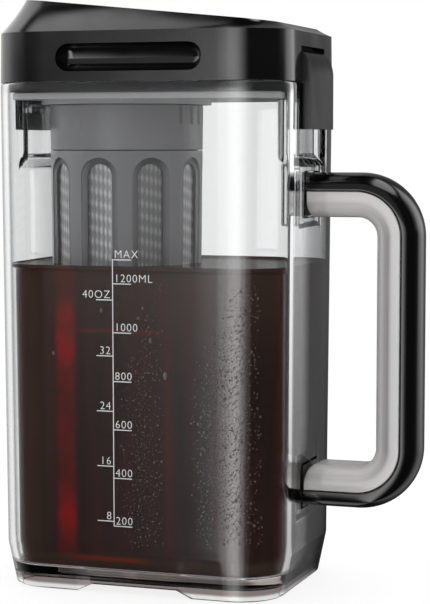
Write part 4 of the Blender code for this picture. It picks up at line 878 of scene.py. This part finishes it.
def latchOutline():
    # From the upright outer face over the pivot in a quarter ellipse, round the barrel's inner side,
    # then the inner face with its nib, and the foot
    p = latch
    inner, nibBottom = p["outerX"] - p["thickness"], p["nibTop"] - p["nibHeight"]
    turn = np.linspace(0, quarter, 24)
    back = np.stack([p["pivotX"] + (p["outerX"] - p["pivotX"]) * np.cos(turn),
                     p["pivotZ"] - p["bulgeDrop"] + (p["barrel"] + p["bulgeDrop"]) * np.sin(turn)], -1)
    end = 3 * quarter + math.asin((inner - p["pivotX"]) / p["barrel"])
    barrel = arc((p["pivotX"], p["pivotZ"]), p["barrel"], quarter, end, 30)[1:]
    nib = [(inner, p["nibTop"] + p["nibRamp"] / 2), (p["nibX"], p["nibTop"]),
           (p["nibX"], nibBottom + p["nibRamp"]), (inner, nibBottom - p["nibRamp"] / 2)]
    return np.vstack([back, barrel, nib, [(inner, p["bottom"]), (p["outerX"], p["bottom"])]])


def makeLatches():
    p = latch
    finish, steel = plainFinish("blackPolypropyleneLatch"), drawnSteel()
    half, inner = p["width"] / 2, p["outerX"] - p["thickness"]
    for end, name, side in (("handle_side", "HandleSide", 1), ("spout_side", "SpoutSide", -1)):
        pull = prism(f"latch{name}", latchOutline() * (side, 1), -half, half)
        centre = (side * p["pivotX"], p["pivotZ"])
        carve(pull, crossBar("eye", p["pin"] + gap, half + overrun, centre))
        xs = sorted([side * (inner - overrun), side * (inner + p["coreDepth"])])
        for middle in (-p["coreMiddle"], p["coreMiddle"]):
            carve(pull, block("core", (xs[0], middle - p["coreHalf"], p["coreBottom"]),
                              (xs[1], middle + p["coreHalf"], p["coreTop"])))
        dress(pull, finish, f"{end}_latch", "latch_black_plastic", [f"latch_{end}"], edge=p["edge"])
        pin = crossBar(f"latchPin{name}", p["pin"], half + p["pinBite"], centre)
        dress(pin, steel, "lid", "pin_steel", [f"latch_pin_{end}"], edge=0.0002)


def makePlug():
    for node, name, finish, slot, edge in (
            ("lid_plug", "lidPlug", "greyPolypropylenePlug", "plug_black_plastic", 0.0002),
            ("lid_gasket", "lidGasket", "darkSiliconeMoulded", "seal_silicone", 0.0003)):
        dress(packedCopy(node, name), plainFinish(finish), "lid", slot, [node], edge=edge, segments=2)


makeLid()
makeCap()
makeLatches()
makePlug()
print("lid closed")


# Filter

def filterRadius(z):
    f = filterSizes
    share = (z - f["bottom"]) / (f["top"] - f["bottom"])
    return f["bottomRadius"] + (f["topRadius"] - f["bottomRadius"]) * share


def makeCollar():
    # A turned ring whose skin sinks by the flute depth where a flute runs, and stands out in three
    # lugs. The share of either falls from 1 to 0 with the way from its middle line.
    f = filterSizes
    low, bore = f["collarBottom"], f["neckRadius"] - f["neckWall"]
    spigot, spigotLow = filterRadius(low) - f["wall"] - gap, low - f["spigotLength"]
    profile = rounded([(f["neckRadius"], f["neckTop"]), (f["neckRadius"], f["top"]),
                       (f["topRadius"], f["top"]), (f["topRadius"] - 0.00007, f["top"] - f["fluteLength"]),
                       (filterRadius(low), low), (spigot, low), (spigot, spigotLow),
                       (spigot - f["spigotRamp"], spigotLow), (bore, low),
                       (bore, f["neckTop"])], 0.0005, 4)
    lugRows = (f["lugHigh"] + 0.0001, f["lugHigh"], f["lugLow"], f["lugLow"] - 0.0001)
    profile = np.vstack([profile[:5], [(f["neckRadius"], z) for z in lugRows], profile[5:]])
    flutes = f["flutePitch"] * (np.arange(f["flutes"]) - f["flutes"] // 2)
    lugs = math.tau * np.arange(f["lugs"]) / f["lugs"] + math.pi / 3
    fluteEdges = (f["fluteWidth"] / 2 + np.array([-0.0004, -0.0001, 0.0001])) / f["topRadius"]
    lugEdges = f["lugHalf"] + np.array([0, f["lugRamp"]])
    edges = [np.add.outer([*flutes, *(flutes + math.pi)], mirrored(fluteEdges)),
             np.add.outer(lugs, mirrored(lugEdges))]
    a = np.concatenate([np.linspace(0, math.tau, f["collarSteps"], endpoint=False),
                        *(np.mod(v.ravel(), math.tau) for v in edges)])
    a = np.unique(np.round(a, 5))
    around = np.concatenate([flutes, flutes + math.pi, flutes + math.tau])
    fluteWay, lugWay = (np.abs(a[:, None] - middles).min(1) for middles in (around, lugs))
    sink = np.interp(fluteWay * f["topRadius"], [f["fluteWidth"] / 2 - 0.0004, f["fluteWidth"] / 2], [1, 0])
    lug = np.interp(lugWay, [f["lugHalf"], f["lugHalf"] + f["lugRamp"]], [1, 0])
    radius, z = profile[:, :1] + 0 * a, profile[:, 1:] + 0 * a
    fluteEnd = f["top"] - f["fluteLength"]
    fluted = np.interp(z, [fluteEnd - 0.0003, fluteEnd], [0, 1]) * (radius > f["neckRadius"] + 0.0005)
    radius = radius - f["fluteDepth"] * sink * fluted
    atLug = (np.abs(radius - f["neckRadius"]) < 1e-6) & (z >= f["lugLow"] - 1e-6) & (z <= f["lugHigh"] + 1e-6)
    radius = np.where(atLug, radius + (f["lugRadius"] - radius) * lug, radius)
    rings = np.stack([f["axisX"] + radius * np.cos(a), radius * np.sin(a), z], -1)
    dress(solid("filterCollar", rings, cyclic=True), filterPlastic, "filter", "filter_dark_plastic",
          ["filter_collar"], smooth=40)


def slotTool(name, margin, depth, angle):
    # A round-ended prism that leans with the filter's wall, from outside it to a depth under it
    f = filterSizes
    middle = (f["windowTop"] + f["windowBottom"]) / 2
    half, length = f["windowWidth"] / 2 + margin, (f["windowTop"] - f["windowBottom"]) / 2 + margin
    upper = arc((0, length - half), half, 0, math.pi, 24)
    lean = math.atan2(f["topRadius"] - f["bottomRadius"], f["top"] - f["bottom"])
    place = Matrix.Translation((f["axisX"], 0, 0)) @ Matrix.Rotation(angle + quarter, 4, "Z") \
        @ Matrix.Translation((0, -filterRadius(middle), middle)) @ Matrix.Rotation(quarter + lean, 4, "X")
    return prism(name, np.vstack([upper, -upper]), -depth, overrun, place)


def makeCage():
    f = filterSizes
    top, bottom = filterRadius(f["cageTop"]), filterRadius(f["cageBottom"])
    profile = rounded([(top, f["cageTop"]), (bottom, f["cageBottom"]), (bottom - f["wall"], f["cageBottom"]),
                       (top - f["wall"], f["cageTop"])], 0.0003, 2)
    cage = solid("filterCage", turned(profile, f["steps"]), cyclic=True)
    for index in range(f["windows"]):
        angle = math.tau * index / f["windows"] - quarter
        carve(cage, slotTool("windowFrame", f["frameMargin"], f["frameDepth"], angle))
        carve(cage, slotTool("window", 0, f["wall"] + overrun, angle))
    dress(cage, filterPlastic, "filter", "filter_dark_plastic", ["filter_cage"], edge=0.0003, segments=2)


def makeSleeveAndBase():
    f = filterSizes
    top, bottom = (filterRadius(z) - f["wall"] - gap for z in (f["meshTop"], f["meshBottom"]))
    sleeve = turned([(top, f["meshTop"]), (bottom, f["meshBottom"]),
                     (bottom - f["meshWall"], f["meshBottom"]), (top - f["meshWall"], f["meshTop"])],
                    f["steps"])
    dress(solid("filterMesh", sleeve, cyclic=True), wovenSteel(), "filter", "mesh_steel", ["filter_mesh"])
    radius, axis, edge = filterRadius(f["baseTop"]), 0.0005, f["baseRound"]
    rim = radius - f["baseRim"]
    cup = rounded([(axis, f["baseFloor"]), (rim, f["baseFloor"]), (rim, f["baseTop"]), (radius, f["baseTop"]),
                   (radius, f["bottom"] + edge), (radius - edge, f["bottom"]), (axis, f["bottom"])], 0.0006)
    cup = cup[4:-4]          # without the two corners at the axis, where the faces close over
    dress(solid("filterBase", turned(cup, f["steps"])), filterPlastic, "filter", "filter_dark_plastic",
          ["filter_base"])


def makeSeals():
    # The base's seal takes the room between the cage and its base
    f = filterSizes
    cage = filterRadius(f["cageBottom"])
    for name, body, node, (inner, outer) in (
            ("collarSeal", "lid", "filter_collar_seal", f["collarSealRadii"]),
            ("baseSeal", "filter", "filter_base_seal", (cage - f["wall"], cage - gap))):
        low, high = f[name]
        profile = rounded([(outer, high), (outer, low), (inner, low), (inner, high)], 0.0003)
        ring = solid(name, turned(profile, f["steps"]), cyclic=True)
        dress(ring, plainFinish("darkSiliconeMoulded"), body, "seal_silicone", [node])


filterPlastic = smokedFilter()
makeCollar()
makeCage()
makeSleeveAndBase()
makeSeals()
print("filter hung")


# Printed scale

scale = {
    "lineX": -0.0068, "rightX": 0.0011, "leftX": -0.0140, "stroke": 0.00036, "proud": 0.00005,
    "text": 0.00462, "spacing": 1.12, "thinned": 0.00006, "textLift": 0.0007,
    "rightGap": 0.0007, "leftGap": 0.0010,
    "right": ((0.1372, "MAX"), (0.1275, "1200ML"), (0.1077, "1000"), (0.0879, "800"), (0.0682, "600"),
              (0.0484, "400"), (0.0287, "200")),
    "left": ((0.1209, "40OZ"), (0.0982, "32"), (0.0757, "24"), (0.0532, "16"), (0.0306, "8")),
}


def makeScale():
    # Bars and figures laid out flat in x and z, then wrapped onto the drafted front face
    s = scale
    half = s["stroke"] / 2
    bars = [(s["lineX"] - half, s["right"][-1][0] - half, s["lineX"] + half, s["right"][0][0] + half)]
    bars += [(s["lineX"], z - half, s["rightX"], z + half) for z, _ in s["right"]]
    bars += [(s["leftX"], z - half, s["lineX"], z + half) for z, _ in s["left"]]
    words = [(*word, s["lineX"] + s["rightGap"], "LEFT") for word in s["right"]]
    words += [(*word, s["lineX"] - s["leftGap"], "RIGHT") for word in s["left"]]
    points, faces = [], []

    def add(corners, cells):
        start = sum(len(p) for p in points)
        points.append(np.asarray(corners, float))
        faces.extend([[start + i for i in cell] for cell in cells])

    for x0, z0, x1, z1 in bars:
        corners = [(x, d, z) for d in (0, 1) for z in (z0, z1) for x in (x0, x1)]
        add(corners, [(0, 1, 3, 2), (4, 6, 7, 5), (0, 2, 6, 4), (1, 5, 7, 3), (0, 4, 5, 1), (2, 3, 7, 6)])
    for z, word, x, align in words:
        curve = bpy.data.curves.new(word, "FONT")
        curve.body, curve.size, curve.align_x = word, s["text"], align
        curve.extrude, curve.resolution_u = 0.5, 3
        curve.offset, curve.space_character = -s["thinned"], s["spacing"]
        holder = linked(word, curve)
        mesh = plainMesh(holder)
        co = np.array([v.co for v in mesh.vertices])
        add(np.stack([co[:, 0] + x, 0.5 - co[:, 2], co[:, 1] + z + s["textLift"]], -1),
            [tuple(p.vertices) for p in mesh.polygons])
        bpy.data.objects.remove(holder, do_unlink=True)
    points = np.vstack(points)
    points[:, 1] = frontY(points[:, 2]) - 0.00001 - s["proud"] * (1 - points[:, 1])
    dress(objectFrom("printedScale", points, faces), plainFinish("whiteInkPrinted"), "jug", smooth=20)


# Patches of condensation: from and to along the wall, from and to in height, pitch and drop radius
dewSizes = {
    "patches": (((0.0265, 0.0560), (0.022, 0.1290), 0.00145, 0.00029),
                ((-0.0040, 0.0150), (0.020, 0.1290), 0.00130, 0.00020)),
    "fade": 0.009, "slant": 0.49, "slantFrom": 0.092,
    "rings": ((1.0, 0.0), (0.82, 0.15), (0.45, 0.26)), "crown": 0.29,       # of the drop's own radius
    "tears": ((0.0156, 0.0910, 0.0009), (0.0093, 0.1050, 0.0006), (-0.0118, 0.1165, 0.0006),
              (-0.0330, 0.0985, 0.0005), (0.0042, 0.1140, 0.0005), (0.0060, 0.1180, 0.0004)),
}


def makeDew():
    # Condensation on the front wall and round its corner: low domes, each a point and three rings of
    # eight, on a shaken grid that thins out towards the patch's edge, and a few longer tears. The way
    # along the wall is the flat's length and then the corner's angle times its radius.
    rng = np.random.default_rng(11)
    d = dewSizes
    spots = []
    for (s0, s1), (z0, z1), pitch, size in d["patches"]:
        s, z = np.meshgrid(np.arange(s0, s1, pitch), np.arange(z0, z1, pitch))
        s, z = (v.ravel() + rng.uniform(-0.42, 0.42, v.size) * pitch for v in (s, z))
        slanted = s - d["slant"] * np.clip(z - d["slantFrom"], 0, None)
        inner = np.minimum.reduce([slanted - s0, s1 - s, z - z0, z1 - z])
        keep = rng.uniform(0, 1, s.size) < 0.15 + 0.85 * np.clip(inner / d["fade"], 0, 1)
        keep &= inner > 0
        drops = [s, z, size * rng.lognormal(0, 0.28, s.size), rng.uniform(0.95, 1.25, s.size)]
        spots.append(np.stack(drops, -1)[keep])
    spots.append([(s, z, size, 1.8) for s, z, size in d["tears"]])
    s, z, size, tall = np.vstack(spots).T[:, :, None]
    turn = np.linspace(0, math.tau, 8, endpoint=False)
    base = np.array([(r * math.cos(t), r * math.sin(t), h) for r, h in d["rings"] for t in turn]
                    + [(0, 0, d["crown"])])
    cells = [(i + 8 * k, (i + 1) % 8 + 8 * k, (i + 1) % 8 + 8 * (k + 1), i + 8 * (k + 1))
             for k in range(2) for i in range(8)]
    cells += [(16 + i, 16 + (i + 1) % 8, 24) for i in range(8)] + [tuple(range(8))[::-1]]
    z = z + base[:, 1] * size * tall
    s = s + base[:, 0] * size
    proud = 0.000005 + base[:, 2] * size
    radius = jug["corner"] - taper(z)
    flat = faceX(z) - radius
    angle = np.clip(s - flat, 0, None) / radius
    x = np.minimum(s, flat) + (radius + proud) * np.sin(angle)
    y = frontY(z) + radius - (radius + proud) * np.cos(angle)
    points = np.stack([x, y, z], -1).reshape(-1, 3)
    faces = [[c + len(base) * k for c in cell] for k in range(len(size)) for cell in cells]
    dress(objectFrom("condensation", points, faces), plainFinish("waterCondensed"), "jug", smooth=60)


makeScale()
makeDew()
print("printed and chilled")


# Studio

# What glossy faces mirror, as brightness round the object by the angle from the front face towards the
# handle, in degrees: low down, level and raised. There are pale walls behind to both sides, a tall
# softbox in front, black flags between, and overhead a panel on either side.
studio = {
    "ring": ((-180, 0.03, 0.25, 0.12), (-166, 0.03, 0.22, 0.30), (-156, 0.03, 0.30, 0.50),
             (-148, 0.8, 1.1, 1.4), (-120, 0.9, 1.1, 1.6), (-92, 0.9, 1.1, 1.9), (-70, 0.2, 0.35, 1.9),
             (-55, 0.03, 0.03, 1.8), (-40, 0.03, 0.03, 0.4), (-24.4, 0.03, 0.03, 0.3),
             (-23.6, 0.06, 0.36, 0.3), (-21, 0.14, 0.48, 0.3),
             (-19.6, 0.24, 0.62, 0.3), (-19, 0.30, 0.75, 0.3), (-18.5, 1.0, 1.9, 0.3), (-12, 2.3, 3.0, 0.3),
             (-4, 3.2, 3.2, 0.3), (4, 2.8, 3.0, 0.3), (12, 1.2, 2.0, 0.3), (19, 0.3, 1.0, 0.2),
             (28, 0.03, 0.03, 0.03), (98, 0.03, 0.03, 0.03), (114, 0.10, 0.06, 0.6), (126, 0.5, 1.3, 1.8),
             (150, 0.6, 1.8, 1.8), (159, 0.4, 0.5, 0.5), (163, 0.25, 0.18, 0.12), (180, 0.03, 0.25, 0.12)),
    "heights": (-0.20, 0.06, 0.15), "full": 3.2, "ringTop": (0.71, 0.78), "overheadFrom": (0.80, 0.87),
    "leftEdge": (-0.31, -0.27), "leftDepth": (-0.30, 0.50), "leftLevels": (2.0, 0.50),
    "rightEdge": (0.0, 0.08), "rightLevel": 2.6,
    "fill": 0.95, "floorRadius": 0.9, "floorFade": (0.30, 0.70), "floorLift": 0.83,
}


def clearView(tree):
    # 1 for what the camera sees directly or straight through clear plastic, 0 after any reflection;
    # and how often the ray was mirrored
    rays = addNode(tree, "LightPath").node.outputs
    turns = addNode(tree, "Math", (rays["Glossy Depth"], rays["Diffuse Depth"]), operation="ADD")
    straight = addNode(tree, "Math", (turns, 0.5), operation="LESS_THAN")
    through = addNode(tree, "Math", (rays["Is Transmission Ray"], straight), operation="MULTIPLY")
    seen = addNode(tree, "Math", (rays["Is Camera Ray"], through), operation="MAXIMUM")
    return seen, rays["Glossy Depth"]


def makeWorld():
    # White for the clear view, a plain even light for dull surfaces, and the studio above for
    # mirrored rays
    world = bpy.data.worlds.new("studio")
    bpy.context.scene.world = world
    world.use_nodes = True
    tree, s = world.node_tree, studio
    direction = addNode(tree, "TexCoord", out="Generated")
    x, y, z = addNode(tree, "SeparateXYZ", (direction,)).node.outputs
    front = addNode(tree, "Math", (y, -1.0), operation="MULTIPLY")
    angle = addNode(tree, "Math", (x, front), operation="ARCTAN2")
    way = addNode(tree, "MapRange", (angle, -math.pi, math.pi))
    ring = [s["ring"][0], s["ring"][-1], *s["ring"][1:-1]]
    layers = [addNode(tree, "ValToRGB", (way,), "Color",
                      [(turn[0] / 360 + 0.5, (turn[k] / s["full"],) * 3 + (1.0,)) for turn in ring])
              for k in (1, 2, 3)]
    around = layers[0]
    for layer, low, high in zip(layers[1:], s["heights"], s["heights"][1:]):
        share = addNode(tree, "MapRange", (z, low, high))
        around = addNode(tree, "Mix", {0: share, 6: around, 7: layer}, 2, data_type="RGBA")
    ramps = [addNode(tree, "MapRange", (axis, *edges, *levels), interpolation_type=kind)
             for axis, edges, levels, kind in (
                 (z, s["ringTop"], (s["full"], 0.0), "SMOOTHSTEP"),
                 (x, s["leftEdge"], (1.0, 0.0), "SMOOTHSTEP"),
                 (y, s["leftDepth"], s["leftLevels"], "LINEAR"),
                 (x, s["rightEdge"], (0.0, s["rightLevel"]), "SMOOTHSTEP"),
                 (z, s["overheadFrom"], (0.0, 1.0), "SMOOTHSTEP"))]
    upright, leftEdge, leftDepth, right, overhead = ramps
    walls = addNode(tree, "Math", (around, upright), operation="MULTIPLY")
    left = addNode(tree, "Math", (leftEdge, leftDepth), operation="MULTIPLY")
    panels = addNode(tree, "Math", (left, right), operation="ADD")
    above = addNode(tree, "Math", (panels, overhead), operation="MULTIPLY")
    mirroredLight = addNode(tree, "Math", (walls, above), operation="ADD")
    seen, bounces = clearView(tree)
    glossy = addNode(tree, "Math", (bounces, 1.0), operation="MINIMUM")
    lit = addNode(tree, "Mix", {0: glossy, 2: s["fill"], 3: mirroredLight}, data_type="FLOAT")
    level = addNode(tree, "Mix", {0: seen, 2: lit, 3: 1.0}, data_type="FLOAT")
    background = tree.nodes["Background"]
    background.inputs["Color"].default_value = (1, 1, 1, 1)
    tree.links.new(level, background.inputs["Strength"])


def makeFloor():
    # A pale round floor that keeps the object's shadow and fades out into the white surround. Mirrored
    # rays pass it, so the glossy faces show the studio's ring down to their foot.
    mesh = bpy.data.meshes.new("floor")
    rim = arc((0, 0), studio["floorRadius"], 0, math.tau, 96)[:-1]
    mesh.from_pydata([(x, y, 0) for x, y in rim], [], [tuple(range(96))])
    floor = linked("floor", mesh)
    floor.location.z = -gap
    material, tree, shader = plastic("palePaperSheet", "#7c7c7c", 0.9)
    seen, bounces = clearView(tree)
    place = addNode(tree, "TexCoord", out="Object")
    reach = addNode(tree, "VectorMath", (place,), "Value", operation="LENGTH")
    fade = addNode(tree, "MapRange", (reach, *studio["floorFade"]), interpolation_type="SMOOTHSTEP")
    gone = addNode(tree, "Math", (fade, bounces), operation="MAXIMUM", use_clamp=True)
    lift = addNode(tree, "Math", (seen, studio["floorLift"]), operation="MULTIPLY")
    white = addNode(tree, "Emission", {"Strength": lift})
    lifted = addNode(tree, "AddShader", (shader.outputs[0], white))
    mix = addNode(tree, "MixShader", (gone, lifted, addNode(tree, "BsdfTransparent")))
    tree.links.new(mix, tree.nodes["Material Output"].inputs["Surface"])
    mesh.materials.append(material)


makeWorld()
makeFloor()
print("studio lit")


camera = linked("camera", bpy.data.cameras.new("camera"))
camera.data.lens = 116.82
camera.data.sensor_width = 36.0
camera.data.clip_start = 0.01
eye, target = Vector((0.26607, -0.77746, 0.18364)), Vector((-0.001009, 0.0, 0.117273))
camera.location = eye
camera.rotation_euler = (target - eye).to_track_quat("-Z", "Y").to_euler()
bpy.context.scene.camera = camera
bpy.context.scene.view_settings.view_transform = "Standard"
